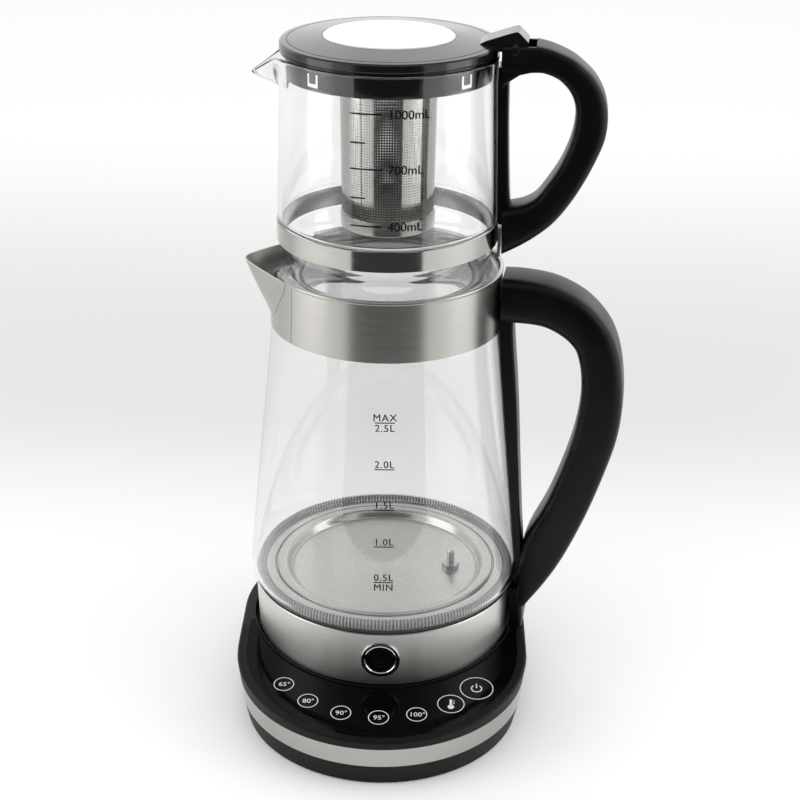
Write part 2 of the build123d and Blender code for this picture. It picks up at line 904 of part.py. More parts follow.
def kettle_handle():
    skin = skin_face(grip_outer, cover_depth + part_gap, cover_start_r - part_gap, cover_low_z - part_gap)
    body = handle_core(grip_outer, grip_gap, (62.0, 78.0), skin, grip_width, grip_centre)
    pocket_outer = inset(grip_outer, cover_depth - 0.5)
    pocket_inner = inset(grip_gap, -grip_wall)
    upper = pocket_outer[2:7]
    lower = pocket_inner[1:6]
    loop = [Spline(*upper), Line(upper[-1], lower[-1]), Spline(*reversed(lower)), Line(lower[0], upper[0])]
    body -= plate_cut(make_face(Curve() + loop), grip_width - 2 * grip_wall)
    spine_low = (shoe_r - 3, 60.0)
    corner = [spine_face[0], (60.0, spine_face[0][1]), (60.0, 60.0), spine_low]
    spine = make_face(Curve() + [Polyline(*corner), Spline(spine_low, *reversed(spine_face))])
    body += plate_cut(spine, spine_width)
    shoe = [(60, shoe_low_z), (shoe_r - 1.0, shoe_low_z), (shoe_r, shoe_low_z + 2.0)]
    shoe += [(shoe_r - 1.5, 70.0), (60, 72.0)]
    body += plate_cut(make_face(Polyline(*shoe, close=True)), shoe_width)
    body = spun(body - kettle_envelope(skin_gap), kettle_turn)
    for z in handle_screw_heights():
        body -= radial_axis(z) * extrude(Circle(screw_r + run_fit), 18.0)
    return body.solids().sort_by(SortBy.VOLUME)[-1]


def kettle_handle_cover():
    cover = handle_skin(grip_outer, cover_depth, cover_start_r, cover_low_z, grip_width, grip_centre)
    return spun(cover, kettle_turn)


def handle_screws():
    screws = []
    for z in handle_screw_heights():
        inner_r = skirt_r(z) - sheet - 70 - part_gap
        axis = radial_axis(z)
        head = Pos(0, 0, inner_r - screw_head_thick - 1.2) * extrude(Circle(screw_head_r), screw_head_thick)
        screw = axis * head
        screw += axis * Pos(0, 0, inner_r - 2.0) * extrude(Circle(screw_r), 8.0)
        screws.append(screw)
    return screws


def pot_profile(gap):
    return [
        (0, pot_floor_z - gap),
        (pot_floor_r + gap, pot_floor_z - gap),
        (56.0 + gap, pot_floor_z + 1.3),
        (pot_foot_r + gap, pot_foot_z),
        (pot_curve_r + gap, pot_curve_z),
        (62.3 + gap, 290.4),
        (pot_waist_r + gap, pot_waist_z),
        (pot_waist_r + gap, 306.4),
        (pot_low_r + gap, pot_low_z),
        (pot_high_r + gap, pot_high_z),
        (pot_rim_r + gap, pot_rim_z),
    ]


def pot_inner(z_top):
    return [
        (pot_rim_r - pot_wall, z_top),
        (pot_high_r - pot_wall, pot_high_z),
        (pot_low_r - pot_wall, pot_low_z),
        (pot_waist_r - pot_wall, 300.0),
        (pot_waist_r - pot_wall, pot_waist_z),
        (pot_curve_r - pot_wall, pot_curve_z),
        (pot_foot_r - pot_wall - 0.4, pot_foot_z + 1.0),
        (51.0, pot_floor_z + 3.0),
        (0, pot_floor_z + 3.0),
    ]


def lip_section(x, half_width, low, cut):
    top = 410.0
    width = half_width - cut
    base = low + cut
    face = Polyline((-width, base + width * 1.1), (-width, top), (width, top), (width, base + width * 1.1))
    dish = ThreePointArc((width, base + width * 1.1), (0, base), (-width, base + width * 1.1))
    plane = Plane((x, 0, 0), x_dir=(0, 1, 0), z_dir=(1, 0, 0))
    return plane * make_face(Curve() + [face, dish])


def lip_loft(cut):
    sections = []
    for index, (x, half_width, low) in enumerate(lip_sections):
        reach = x - (4.0 if index == 0 and cut else 0.0) + (cut * 0.9 if index == 2 else 0.0)
        sections.append(lip_section(reach, half_width, low, cut * (0.7 if index == 2 else 1.0)).face())
    return loft(sections)


def lip_trim():
    slope = math.tan(math.radians(lip_top_slope))
    low_x = 53.0
    high_x = 90.0
    high_z = pot_rim_z - slope * (high_x - low_x)
    line = Polyline((low_x, pot_rim_z), (high_x, high_z), (high_x, 430), (low_x, 430), close=True)
    return plate_cut(make_face(line), 80)


def teapot_glass():
    body = turned(*pot_profile(0), *pot_inner(pot_rim_z))
    lip = spun(lip_loft(0) - lip_trim(), lip_turn)
    hollow = spun(lip_loft(lip_wall), lip_turn)
    body = body + lip - hollow - spun(lip_trim(), lip_turn)
    inner_line = [(0, 430.0), (pot_rim_r - pot_wall, 430.0), (pot_rim_r - pot_wall, pot_rim_z)]
    inner_line += [(pot_high_r - pot_wall, pot_high_z), (pot_low_r - pot_wall, 330.0), (0, 330.0)]
    inside = turned(*inner_line)
    return (body - inside).solids().sort_by(SortBy.VOLUME)[-1]


def teapot_band():
    return tube(band_r, pot_waist_r + part_gap, band_z, band_end_z)


def bracket_hole(radius, low, high):
    axis = Plane((low, 0, 290.6), x_dir=(0, 1, 0), z_dir=(1, 0, 0))
    return spun(axis * extrude(Circle(radius), high - low), teapot_turn)


def teapot_bracket():
    body = block((band_r + 0.1, -6, 288.4), (band_r + 1.7, 6, 303.0))
    body += block((band_r - 1.2, -6, 303.0 - 17), (band_r + 1.7, 6, 288.6))
    body -= turned(*pot_profile(0.25), (0, pot_rim_z))
    body = spun(body, teapot_turn)
    return (body - bracket_hole(screw_r + 0.1, 60, 70)).solids().sort_by(SortBy.VOLUME)[-1]


def teapot_band_screw():
    head = bracket_hole(2.0, band_r - 0.75, band_r + 0.1)
    return head + bracket_hole(screw_r - 0.1, band_r, band_r + 12)


def teapot_envelope(gap):
    wall_side = turned(*pot_profile(gap), (pot_rim_r + gap, 430), (0, 430))
    return wall_side + drum(band_r + gap, band_z - gap, band_end_z + gap)


def teapot_handle():
    depth = pot_cover_depth + part_gap
    skin = skin_face(pot_outer, depth, cover_start_r - part_gap, pot_cover_low_z - part_gap)
    body = handle_core(pot_outer, pot_gap, (60.0, 64.0), skin, pot_grip_width, pot_centre)
    top = pot_spine_face[0]
    low = pot_spine_face[-1]
    root = [Spline(*pot_spine_face), Polyline(low, (60.0, low[1]), (60.0, top[1]), top)]
    body += plate_cut(make_face(Curve() + root), pot_spine_width)
    body -= block((50, -50, ear_top_z), (80.2, 50, 430))
    slot = lever_width / 2 + lever_gap
    body -= block((50, -slot, slot_floor_z), (slot_end_r, slot, 430))
    body -= block((50, -50, slot_floor_z - 1), (ear_front_r, 50, 430))
    pin_plane = Plane((pin_x, 0, pin_z), x_dir=(1, 0, 0), z_dir=(0, 1, 0))
    body -= pin_plane * extrude(Circle(pin_r + run_fit), 40, both=True)
    body -= block((50, -6.3, 280), (band_r + 2.0, 6.3, 303.3))
    body = spun(body, teapot_turn) - teapot_envelope(skin_gap)
    body -= bracket_hole(screw_r, 60, band_r + 14)
    return body.solids().sort_by(SortBy.VOLUME)[-1]


def teapot_handle_cover():
    span = (cover_start_r, pot_cover_low_z)
    cover = handle_skin(pot_outer, pot_cover_depth, *span, pot_grip_width, pot_centre)
    return spun(cover, teapot_turn)


def hinge_pin():
    plane = Plane((pin_x, 0, pin_z), x_dir=(1, 0, 0), z_dir=(0, 1, 0))
    return spun(plane * extrude(Circle(pin_r), pot_grip_width / 2 - 0.4, both=True), teapot_turn)


def lid_cap():
    body = turned(
        (lid_r - 1.0, lid_low_z),
        (lid_r - 0.3, lid_low_z),
        (lid_r, lid_low_z + 0.5),
        (lid_r, lid_edge_z - 0.9),
        (lid_r - 0.9, lid_edge_z),
        (disc_r + 0.6, disc_top_z - 0.5),
        (disc_r + part_gap, disc_top_z - disc_thick),
        (0, disc_top_z - disc_thick),
        (0, disc_top_z - disc_thick - lid_skin),
        (disc_r, disc_top_z - disc_thick - lid_skin),
        (lid_r - 2.6, lid_edge_z - lid_skin),
        (lid_r - 2.6, lid_low_z),
    )
    lever = make_face(
        Polyline(
            (lever_root_r, 408.6),
            (lever_root_r + 4, 410.6),
            (67.5, 415.2),
            (70.6, lever_ridge_z),
            (72.2, 415.2),
            (77.0, 410.4),
            (76.6, 408.2),
            (73.6, 404.6),
            (66.4, 404.6),
            (62.0, 404.9),
            (lid_r - 1.4, 404.9),
            (lid_r - 3, 406.0),
            close=True,
        )
    )
    arm = plate_cut(lever, lever_width)
    ridge = [e for e in arm.edges() if abs(e.center().Z - lever_ridge_z) < 0.4 and e.length > 10]
    arm = softened(arm, ridge, 1.2)
    plane = Plane((pin_x, 0, pin_z), x_dir=(1, 0, 0), z_dir=(0, 1, 0))
    arm += plane * extrude(Circle(knuckle_r), lever_width / 2, both=True)
    body += spun(arm, teapot_turn)
    bore = plane * extrude(Circle(pin_r + 2 * run_fit - 0.02), 40, both=True)
    return body - spun(bore, teapot_turn)


def lid_disc():
    body = turned(
        (0, disc_top_z - disc_thick),
        (disc_r, disc_top_z - disc_thick),
        (disc_r, disc_top_z - 0.5),
        (disc_r - 0.7, disc_top_z),
        (0, disc_top_z),
    )
    return body


def lid_inner():
    roof = disc_top_z - disc_thick - lid_skin
    return turned(
        (0, liner_low_z),
        (liner_r - 1.5, liner_low_z),
        (liner_r, liner_low_z + 1.5),
        (liner_r, 405.4),
        (liner_r - 1.6, 405.4),
        (liner_r - 1.6, liner_low_z + 2.4),
        (10.0, liner_low_z + 2.4),
        (10.0, roof),
        (0, roof),
    )


def infuser_ring():
    body = turned(
        (ring_ledge_r, ring_low_z + 0.8),
        (ring_ledge_r + 0.8, ring_low_z),
        (ring_r, ring_low_z),
        (ring_r, pot_rim_z + 0.1),
        (lid_r - 0.4, pot_rim_z + 0.1),
        (lid_r - 0.4, lid_low_z),
        (ring_inner_r, lid_low_z),
        (ring_inner_r, ring_ledge_top_z),
        (ring_ledge_r, ring_ledge_top_z),
    )
    body -= tube(ring_r + 1, ring_r - 0.9, 399.2, 400.8)
    low = clip_z - clip_height / 2
    window = block((40, -clip_width / 2, low), (70, clip_width / 2, low + clip_height - 1))
    tongue = block(
        (40, -clip_width / 2 + clip_slot, clip_z - clip_height / 2 + clip_slot),
        (70, clip_width / 2 - clip_slot, clip_z + clip_height / 2 - 1),
    )
    for turn in clip_turns:
        body -= spun(window - tongue, turn)
    return body


def ring_seal():
    return tube(ring_r + 0.7, ring_r - 0.8, 399.4, 400.7)


def infuser_basket():
    top = ring_ledge_top_z + basket_sheet
    body = turned(
        (basket_top_r, ring_ledge_top_z),
        (ring_inner_r - rest_gap, ring_ledge_top_z),
        (ring_inner_r - rest_gap, top),
        (basket_top_r - basket_sheet, top),
        (basket_low_r - basket_sheet, basket_low_z),
        (basket_low_r, basket_low_z),
    )
    return body


def infuser_base():
    low = basket_low_r + part_gap
    body = turned(
        (0, base_low_z),
        (low - 0.6, base_low_z),
        (low + 0.6, base_low_z + 0.8),
        (low + 0.8, base_top_z),
        (low + 0.15, base_top_z),
        (low, basket_low_z),
        (0, basket_low_z),
    )
    hole = drum(1.2, base_low_z - 1, basket_low_z + 1)
    spots = [(0, 1), (8, 6), (16, 12)]
    for reach, count in spots:
        for step in range(count):
            body -= spun(Pos(reach, 0, 0) * hole, 360 / count * step)
    return body


def save(name, shape):
    solids = shape if isinstance(shape, list) else [shape]
    found = []
    for item in solids:
        found.extend(item.solids())
    result = found[0] if len(found) == 1 else Compound(children=found)
    result.label = name
    export_step(result, f"parts/{name}.step")
    print(name, len(found), round(sum(s.volume for s in found)), all(s.is_valid for s in found))


save("base_tray", base_tray())
save("base_feet", base_feet())
save("base_band", base_band())
save("base_housing", base_housing())
save("control_panel", control_panel())
save("touch_pads", touch_pads())
save("control_board", control_board())
save("power_board", power_board())
save("base_connector", base_connector())
save("base_screws", base_screws())
save("cord_gland", cord_gland())
save("kettle_skirt", kettle_skirt())
save("kettle_glass", kettle_glass())
save("glass_seal", glass_seal())
save("heating_plate", heating_plate())
save("heat_spreader", heat_spreader())
save("heating_element", heating_element())
save("temperature_sensor", temperature_sensor())
save("sensor_nut", sensor_nut())
save("kettle_base_cover", kettle_base_cover())
save("kettle_connector", kettle_connector())
save("kettle_base_screws", kettle_base_screws())
save("indicator_bezel", indicator_bezel())
save("indicator_lens", indicator_lens())
save("indicator_board", indicator_board())
save("kettle_collar", kettle_collar())
save("kettle_spout", kettle_spout())
save("collar_seal", collar_seal())
save("mouth_ring", mouth_ring())
save("kettle_handle", kettle_handle())
save("kettle_handle_cover", kettle_handle_cover())
save("handle_screws", handle_screws())
save("teapot_glass", teapot_glass())
save("teapot_band", teapot_band())
save("teapot_bracket", teapot_bracket())
save("teapot_band_screw", teapot_band_screw())
save("teapot_handle", teapot_handle())
save("teapot_handle_cover", teapot_handle_cover())
save("hinge_pin", hinge_pin())
save("lid_cap", lid_cap())
save("lid_disc", lid_disc())
save("lid_inner", lid_inner())
save("infuser_ring", infuser_ring())
save("ring_seal", ring_seal())
save("infuser_basket", infuser_basket())
save("infuser_base", infuser_base())
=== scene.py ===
import bpy
import bmesh
import json
import math
from mathutils import Matrix, Vector


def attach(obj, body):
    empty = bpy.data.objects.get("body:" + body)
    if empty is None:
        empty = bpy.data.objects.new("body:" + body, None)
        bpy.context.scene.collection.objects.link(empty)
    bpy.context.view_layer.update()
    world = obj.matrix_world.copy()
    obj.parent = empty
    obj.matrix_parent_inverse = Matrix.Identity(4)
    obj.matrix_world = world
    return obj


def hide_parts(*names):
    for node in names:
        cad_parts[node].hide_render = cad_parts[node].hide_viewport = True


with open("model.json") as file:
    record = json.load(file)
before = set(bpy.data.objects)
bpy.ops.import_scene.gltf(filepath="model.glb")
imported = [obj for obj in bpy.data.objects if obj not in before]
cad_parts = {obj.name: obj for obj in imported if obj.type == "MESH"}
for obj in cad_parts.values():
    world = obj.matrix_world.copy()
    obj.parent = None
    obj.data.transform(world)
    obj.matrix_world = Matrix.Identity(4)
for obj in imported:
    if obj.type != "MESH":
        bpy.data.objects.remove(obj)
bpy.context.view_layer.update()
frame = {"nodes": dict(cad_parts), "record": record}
nodes = frame["nodes"]
print("frame loaded with", len(nodes), "nodes")

mm = 0.001


def polar(r, turn):
    return r * math.cos(turn), r * math.sin(turn)


def circle(r, z, steps, middle=(0.0, 0.0)):
    spots = (polar(r, 2 * math.pi * k / steps) for k in range(steps))
    return [(middle[0] + x, middle[1] + y, z) for x, y in spots]


def linked(name, data):
    obj = bpy.data.objects.new(name, data)
    bpy.context.scene.collection.objects.link(obj)
    return obj


def bakedMesh(obj):
    bpy.context.view_layer.update()
    return bpy.data.meshes.new_from_object(obj.evaluated_get(bpy.context.evaluated_depsgraph_get()))


# camera
view = {
    "place": (0.0, -0.9004, 0.6082),
    "pitch": 25.0,
    "yaw": 0.537,
    "roll": 0.715,
    "turn": 1.5,          # the part's front against the camera's line
    "lens": 73.55,
    "sensor": 36.0,
    "reach": 20.0,
}


def makeCamera():
    pitch, yaw, roll = (math.radians(view[k]) for k in ("pitch", "yaw", "roll"))
    ahead = Vector((math.sin(yaw) * math.cos(pitch), math.cos(yaw) * math.cos(pitch), -math.sin(pitch)))
    side = Vector((math.cos(yaw), -math.sin(yaw), 0.0))
    up = side.cross(ahead)
    right = side * math.cos(roll) + up * math.sin(roll)
    top = up * math.cos(roll) - side * math.sin(roll)
    frameMatrix = Matrix((right, top, -ahead)).transposed().to_4x4()
    frameMatrix.translation = Vector(view["place"])
    data = bpy.data.cameras.new("camera")
    data.lens = view["lens"]
    data.sensor_width = view["sensor"]
    data.clip_end = view["reach"]
    cam = linked("camera", data)
    cam.matrix_world = Matrix.Rotation(math.radians(view["turn"]), 4, "Z") @ frameMatrix
    bpy.context.scene.camera = cam


def hexColour(code):
    values = []
    for at in (0, 2, 4):
        c = int(code.lstrip("#")[at:at + 2], 16) / 255
        values.append(c / 12.92 if c <= 0.04045 else ((c + 0.055) / 1.055) ** 2.4)
    return (*values, 1.0)


def addNode(tree, kind, values=None):
    # a socket is linked, a setting of the node's own is set, and the rest goes to its inputs
    node = tree.nodes.new(kind)
    for key, value in (values or {}).items():
        if isinstance(value, bpy.types.NodeSocket):
            tree.links.new(value, node.inputs[key])
        elif isinstance(key, str) and hasattr(node, key):
            setattr(node, key, value)
        else:
            node.inputs[key].default_value = value
    return node


def mathNode(tree, operation, *terms):
    return addNode(tree, "ShaderNodeMath", {"operation": operation, **dict(enumerate(terms))}).outputs[0]


def ramp(tree, source, span, low=0.0, high=1.0, kind="LINEAR"):
    values = {"interpolation_type": kind, 0: source, 1: span[0], 2: span[1], 3: low, 4: high}
    return addNode(tree, "ShaderNodeMapRange", values).outputs[0]


def blend(tree, share, a, b):
    return addNode(tree, "ShaderNodeMix", {"data_type": "FLOAT", 0: share, 2: a, 3: b}).outputs[0]


def objectPlace(tree):
    return addNode(tree, "ShaderNodeTexCoord").outputs["Object"]


def splitAxes(tree, place):
    return addNode(tree, "ShaderNodeSeparateXYZ", {0: place}).outputs


# pale studio: a world that differs for matt and glossy faces, a dark card in front and two side lamps
studio = {
    "matt": 1.0,           # what matt faces see
    "back": 1.5,           # low band behind, which lights the tops of the lid and handles
    "sky": 0.9,
    "frontSky": 0.55,
    "turnOver": (-0.3, 0.4),      # from the front sky to the sky
    "bandTop": (0.45, 0.6),       # where the low band ends
    "bandSide": (0.3, 0.6),       # where it starts, from front to back
    "flagY": -0.42,               # dark card in front, seen only in gloss
    "flagSpan": (-0.275, 0.3),
    "flagLow": 0.001,
    "flagTop": 0.5,
    "lamps": (("leftPanel", (-1.2, -0.35, 0.55)), ("rightPanel", (1.2, -0.25, 0.6))),
    "lampTarget": (0.0, 0.0, 0.2),
    "lampSize": (0.8, 1.3),
    "lampPower": 5.0,
}


def makeWorld():
    world = bpy.data.worlds.new("studio")
    bpy.context.scene.world = world
    world.use_nodes = True
    tree = world.node_tree
    tree.nodes.clear()
    place = addNode(tree, "ShaderNodeTexCoord").outputs["Generated"]
    _, along, up = splitAxes(tree, place)
    behind = ramp(tree, along, studio["turnOver"], studio["frontSky"], studio["sky"])
    low = ramp(tree, up, studio["bandTop"], studio["back"], studio["sky"])
    gloss = blend(tree, ramp(tree, along, studio["bandSide"]), behind, low)
    path = addNode(tree, "ShaderNodeLightPath").outputs
    seen = mathNode(tree, "MAXIMUM", path["Is Camera Ray"], path["Is Transmission Ray"])
    level = blend(tree, seen, blend(tree, path["Is Glossy Ray"], studio["matt"], gloss), 1.0)
    back = addNode(tree, "ShaderNodeBackground", {"Color": (1.0, 1.0, 1.0, 1.0), "Strength": level})
    addNode(tree, "ShaderNodeOutputWorld", {"Surface": back.outputs[0]})


def makeFlag():
    bm = bmesh.new()
    y, low, top = studio["flagY"], studio["flagLow"], studio["flagTop"]
    left, right = studio["flagSpan"]
    bm.faces.new([bm.verts.new((x, y, z)) for x, z in ((right, low), (left, low), (left, top), (right, top))])
    material, tree, shader = newMaterial("blackCloth")
    paint(tree, shader, grain(tree, 30.0), ("#3e3e3e", "#4e4e4e"))
    setShader(shader, {"Roughness": 1.0, "Specular IOR Level": 0.0})
    # the card shows only after a mirror bounce, so glass stays clear from every side
    depth = addNode(tree, "ShaderNodeLightPath").outputs["Glossy Depth"]
    clear = addNode(tree, "ShaderNodeBsdfTransparent")
    over = mathNode(tree, "GREATER_THAN", depth, 0.5)
    seen = addNode(tree, "ShaderNodeMixShader", {0: over, 1: clear.outputs[0], 2: shader.outputs[0]})
    end = next(n for n in tree.nodes if n.type == "OUTPUT_MATERIAL")
    tree.links.new(seen.outputs[0], end.inputs["Surface"])
    card = meshObject("frontFlag", bm, material)
    card.visible_camera = card.visible_diffuse = card.visible_shadow = False


def makeLamps():
    for name, place in studio["lamps"]:
        data = bpy.data.lights.new(name, "AREA")
        data.shape = "RECTANGLE"
        data.size, data.size_y = studio["lampSize"]
        data.energy = studio["lampPower"]
        lamp = linked(name, data)
        lamp.location = place
        lamp.rotation_euler = (Vector(studio["lampTarget"]) - Vector(place)).to_track_quat("-Z", "Y").to_euler()


def newMaterial(name):
    material = bpy.data.materials.new(name)
    material.use_nodes = True
    tree = material.node_tree
    tree.nodes.clear()
    shader = addNode(tree, "ShaderNodeBsdfPrincipled")
    addNode(tree, "ShaderNodeOutputMaterial", {"Surface": shader.outputs[0]})
    return material, tree, shader


# a material is written as what it adds to a new shader
def recipe(build):
    def made(name, *spec):
        material, tree, shader = newMaterial(name)
        build(tree, shader, *spec)
        return material
    return made


def setShader(shader, values):
    for key, value in values.items():
        shader.inputs[key].default_value = value


def spread(tree, source, low, high):
    return ramp(tree, source, (0.3, 0.7), low, high)


def twoTone(tree, source, dark, pale):
    mix = addNode(tree, "ShaderNodeMix", {"data_type": "RGBA", 6: hexColour(dark), 7: hexColour(pale), 0: source})
    return mix.outputs[2]


# colour from one pattern and, where given, roughness from the same or another one
def paint(tree, shader, tone, colours, gloss=None, rough=None):
    tree.links.new(twoTone(tree, tone, *colours), shader.inputs["Base Color"])
    if rough:
        tree.links.new(spread(tree, gloss, *rough), shader.inputs["Roughness"])


def grain(tree, scale, detail=2.0, stretch=(1.0, 1.0, 1.0)):
    lay = addNode(tree, "ShaderNodeMapping", {"Scale": stretch, "Vector": objectPlace(tree)})
    noise = addNode(tree, "ShaderNodeTexNoise", {"Scale": scale, "Detail": detail, "Vector": lay.outputs[0]})
    return noise.outputs[0]


def raised(tree, shader, height, strength, depth):
    bump = addNode(tree, "ShaderNodeBump", {"Strength": strength, "Distance": depth, "Height": height})
    tree.links.new(bump.outputs[0], shader.inputs["Normal"])


# Moulded ABS: the gloss wanders a little and a faint orange peel of about 0.8 mm breaks long highlights.
@recipe
def mouldedAbs(tree, shader, dark, pale, rough, shine):
    cloud = grain(tree, 38.0)
    paint(tree, shader, cloud, (dark, pale), cloud, (rough - 0.04, rough + 0.05))
    setShader(shader, {"IOR": 1.54, "Specular IOR Level": shine})
    raised(tree, shader, grain(tree, 1250.0), 0.12, 0.00004)


# Spark-eroded ABS: dense dimples of about 0.7 mm, matt all over.
@recipe
def sparkAbs(tree, shader):
    dimples = grain(tree, 1500.0, 3.0)
    paint(tree, shader, grain(tree, 26.0), ("#070809", "#0d0e0f"), dimples, (0.42, 0.6))
    setShader(shader, {"IOR": 1.54, "Specular IOR Level": 0.16})
    raised(tree, shader, dimples, 0.3, 0.00008)


# Back-printed acrylic: deep black and mirror-flat, with a slow change of gloss from wiping.
@recipe
def acrylicPanel(tree, shader):
    wiped = grain(tree, 24.0)
    paint(tree, shader, wiped, ("#040405", "#08090a"), wiped, (0.04, 0.09))
    setShader(shader, {"IOR": 1.49, "Specular IOR Level": 0.1})


# Metal with grooves round the upright axis: they smear light across themselves.
def grooved(tree, shader, height, bend, strength):
    setShader(shader, {"Metallic": 1.0, "Anisotropic": bend, "Anisotropic Rotation": 0.25})
    tangent = addNode(tree, "ShaderNodeTangent", {"direction_type": "RADIAL", "axis": "Z"})
    tree.links.new(tangent.outputs[0], shader.inputs["Tangent"])
    raised(tree, shader, height, strength, 0.000006)


grooveScale = 2600.0       # noise cells to the metre, which gives lines under half a millimetre apart


# Stainless sheet, belt-brushed round the wall: fine level lines, which smear light upright.
@recipe
def brushedSteel(tree, shader, dark, pale, rough, bend=0.6):
    line = grain(tree, 1.0, 3.0, (9.0, 9.0, grooveScale))
    cloud = grain(tree, 1.0, 2.0, (16.0, 16.0, 5.0))
    paint(tree, shader, blend(tree, 0.35, line, cloud), (dark, pale), line, (rough - 0.03, rough + 0.04))
    grooved(tree, shader, line, bend, 0.25)


# Stainless disc turned on a lathe: fine rings round its centre, which throw fan-shaped highlights.
@recipe
def turnedSteel(tree, shader, dark, pale, rough):
    lay = addNode(tree, "ShaderNodeMapping", {"Scale": (1.0, 1.0, 0.0), "Vector": objectPlace(tree)})
    reach = addNode(tree, "ShaderNodeVectorMath", {"operation": "LENGTH", 0: lay.outputs[0]})
    rings = addNode(tree, "ShaderNodeTexNoise", {"noise_dimensions": "1D", "Scale": grooveScale, "Detail": 2.0,
                    "W": reach.outputs["Value"]}).outputs[0]
    cloud = grain(tree, 30.0)
    paint(tree, shader, blend(tree, 0.3, rings, cloud), (dark, pale), rings, (rough - 0.03, rough + 0.03))
    grooved(tree, shader, rings, 0.7, 0.12)


# Plain metal as it leaves the press or the plating bath: small cloudy changes of gloss.
@recipe
def plainMetal(tree, shader, dark, pale, rough, scale=180.0):
    cloud = grain(tree, scale, 3.0)
    paint(tree, shader, cloud, (dark, pale), cloud, (rough - 0.04, rough + 0.06))
    setShader(shader, {"Metallic": 1.0})
    raised(tree, shader, cloud, 0.08, 0.00003)


# Blown borosilicate: colourless, with slow waves in the wall that bend what is seen through it.
@recipe
def borosilicate(tree, shader):
    waves = grain(tree, 1.0, 1.0, (24.0, 24.0, 7.0))
    paint(tree, shader, waves, ("#f6f8f8", "#ffffff"))
    setShader(shader, {"Roughness": 0.0, "IOR": 1.47, "Transmission Weight": 1.0})
    raised(tree, shader, waves, 0.35, 0.00012)


# Clear silicone: soft, slightly milky, with a skin that scatters.
@recipe
def clearSilicone(tree, shader):
    milk = grain(tree, 90.0)
    paint(tree, shader, milk, ("#e6e8e8", "#f6f7f7"), milk, (0.12, 0.24))
    setShader(shader, {"IOR": 1.41, "Transmission Weight": 0.92})


# Clear ribbed gasket: pale crests and grooves painted grey as shade, one pair every 2 mm or so round the ring.
@recipe
def ribbedSilicone(tree, shader, ribs):
    sweep = addNode(tree, "ShaderNodeTexGradient", {"gradient_type": "RADIAL", "Vector": objectPlace(tree)})
    phase = mathNode(tree, "MULTIPLY", sweep.outputs["Fac"], 2 * math.pi * ribs)
    grooveShadeMask = ramp(tree, mathNode(tree, "COSINE", phase), (-0.5, 0.7))
    # the grey in the grooves is painted shade, in step with the ribs of the gasket's shape
    paint(tree, shader, grooveShadeMask, ("#a4a7a7", "#fcfdfd"))
    setShader(shader, {"Roughness": 0.08, "IOR": 1.41, "Transmission Weight": 0.45})


# Moulded rubber: dry, matt, with a faint bloom.
@recipe
def mouldedRubber(tree, shader):
    bloom = grain(tree, 240.0, 4.0)
    paint(tree, shader, bloom, ("#161616", "#242424"), bloom, (0.7, 0.85))
    raised(tree, shader, bloom, 0.2, 0.00005)


# Screen-printed enamel ink: flat, slightly uneven cover.
@recipe
def printedInk(tree, shader, dark, pale, rough):
    cover = grain(tree, 700.0, 3.0)
    paint(tree, shader, cover, (dark, pale), cover, (rough, rough + 0.12))
    setShader(shader, {"Specular IOR Level": 0.12})


# Lacquered glass-fibre board: green with a woven grid of about 0.5 mm.
@recipe
def circuitBoard(tree, shader):
    weave = addNode(tree, "ShaderNodeTexChecker", {"Scale": 2000.0, "Vector": objectPlace(tree)})
    paint(tree, shader, weave.outputs["Fac"], ("#0e4526", "#12502d"))
    setShader(shader, {"Roughness": 0.35, "Coat Weight": 0.3})


gasketRibCount = 236
satinBlack = mouldedAbs("satinMouldedAbs", "#050607", "#090a0b", 0.34, 0.16)
gripBlack = mouldedAbs("gripMouldedAbs", "#040405", "#070809", 0.33, 0.17)
ringGloss = mouldedAbs("ringGlossAbs", "#050506", "#08090a", 0.12, 0.28)
lidBlack = mouldedAbs("semiGlossAbs", "#060708", "#0a0b0c", 0.16, 0.55)
glossBlack = mouldedAbs("glossAbs", "#050506", "#09090a", 0.1, 0.4)
matteBlack = sparkAbs("sparkErodedAbs")
panelBlack = acrylicPanel("backPrintedAcrylic")
wallSteel = brushedSteel("beltBrushedSteel", "#a3a19d", "#bfbdb9", 0.31)
# the skirt's steel is paler than the collar's: painted light for the light the skirt catches
skirtSteelPaintedLight = brushedSteel("skirtBrushedSteel", "#c2c0bc", "#eeece8", 0.34, 0.75)
bandSteel = brushedSteel("fineBrushedSteel", "#a8a6a2", "#bbb9b5", 0.14, 0.5)
floorSteel = turnedSteel("latheTurnedSteel", "#b6b5b1", "#cbcac6", 0.28)
discSteel = turnedSteel("satinTurnedDisc", "#e2e2e0", "#f1f1ef", 0.26)
etchedSteel = plainMetal("etchedSteelSheet", "#bdbcb8", "#cfceca", 0.09, 60.0)
zincSteel = plainMetal("zincPlatedSteel", "#a9abad", "#c6c8ca", 0.3)
# dark steel: scale on the heating element, the weld and lap lines, and painted shade along the spout's crease
dullSteel = plainMetal("scaledTubeSteel", "#5f5a54", "#8b857d", 0.45)
castAluminium = plainMetal("castAluminium", "#a8a9ab", "#c9cacc", 0.5, 400.0)
chrome = plainMetal("polishedChrome", "#cfcfcf", "#e4e4e4", 0.05, 60.0)
clearGlass = borosilicate("blownBorosilicate")
silicone = clearSilicone("clearSilicone")
gasketClear = ribbedSilicone("ribbedSilicone", gasketRibCount)
rubber = mouldedRubber("mouldedRubber")
board = circuitBoard("lacqueredBoard")
darkInk = printedInk("blackGlassEnamel", "#050506", "#0a0a0b", 0.5)
whiteInk = printedInk("whitePanelInk", "#cfd0ce", "#e8e9e7", 0.45)
print("materials made")

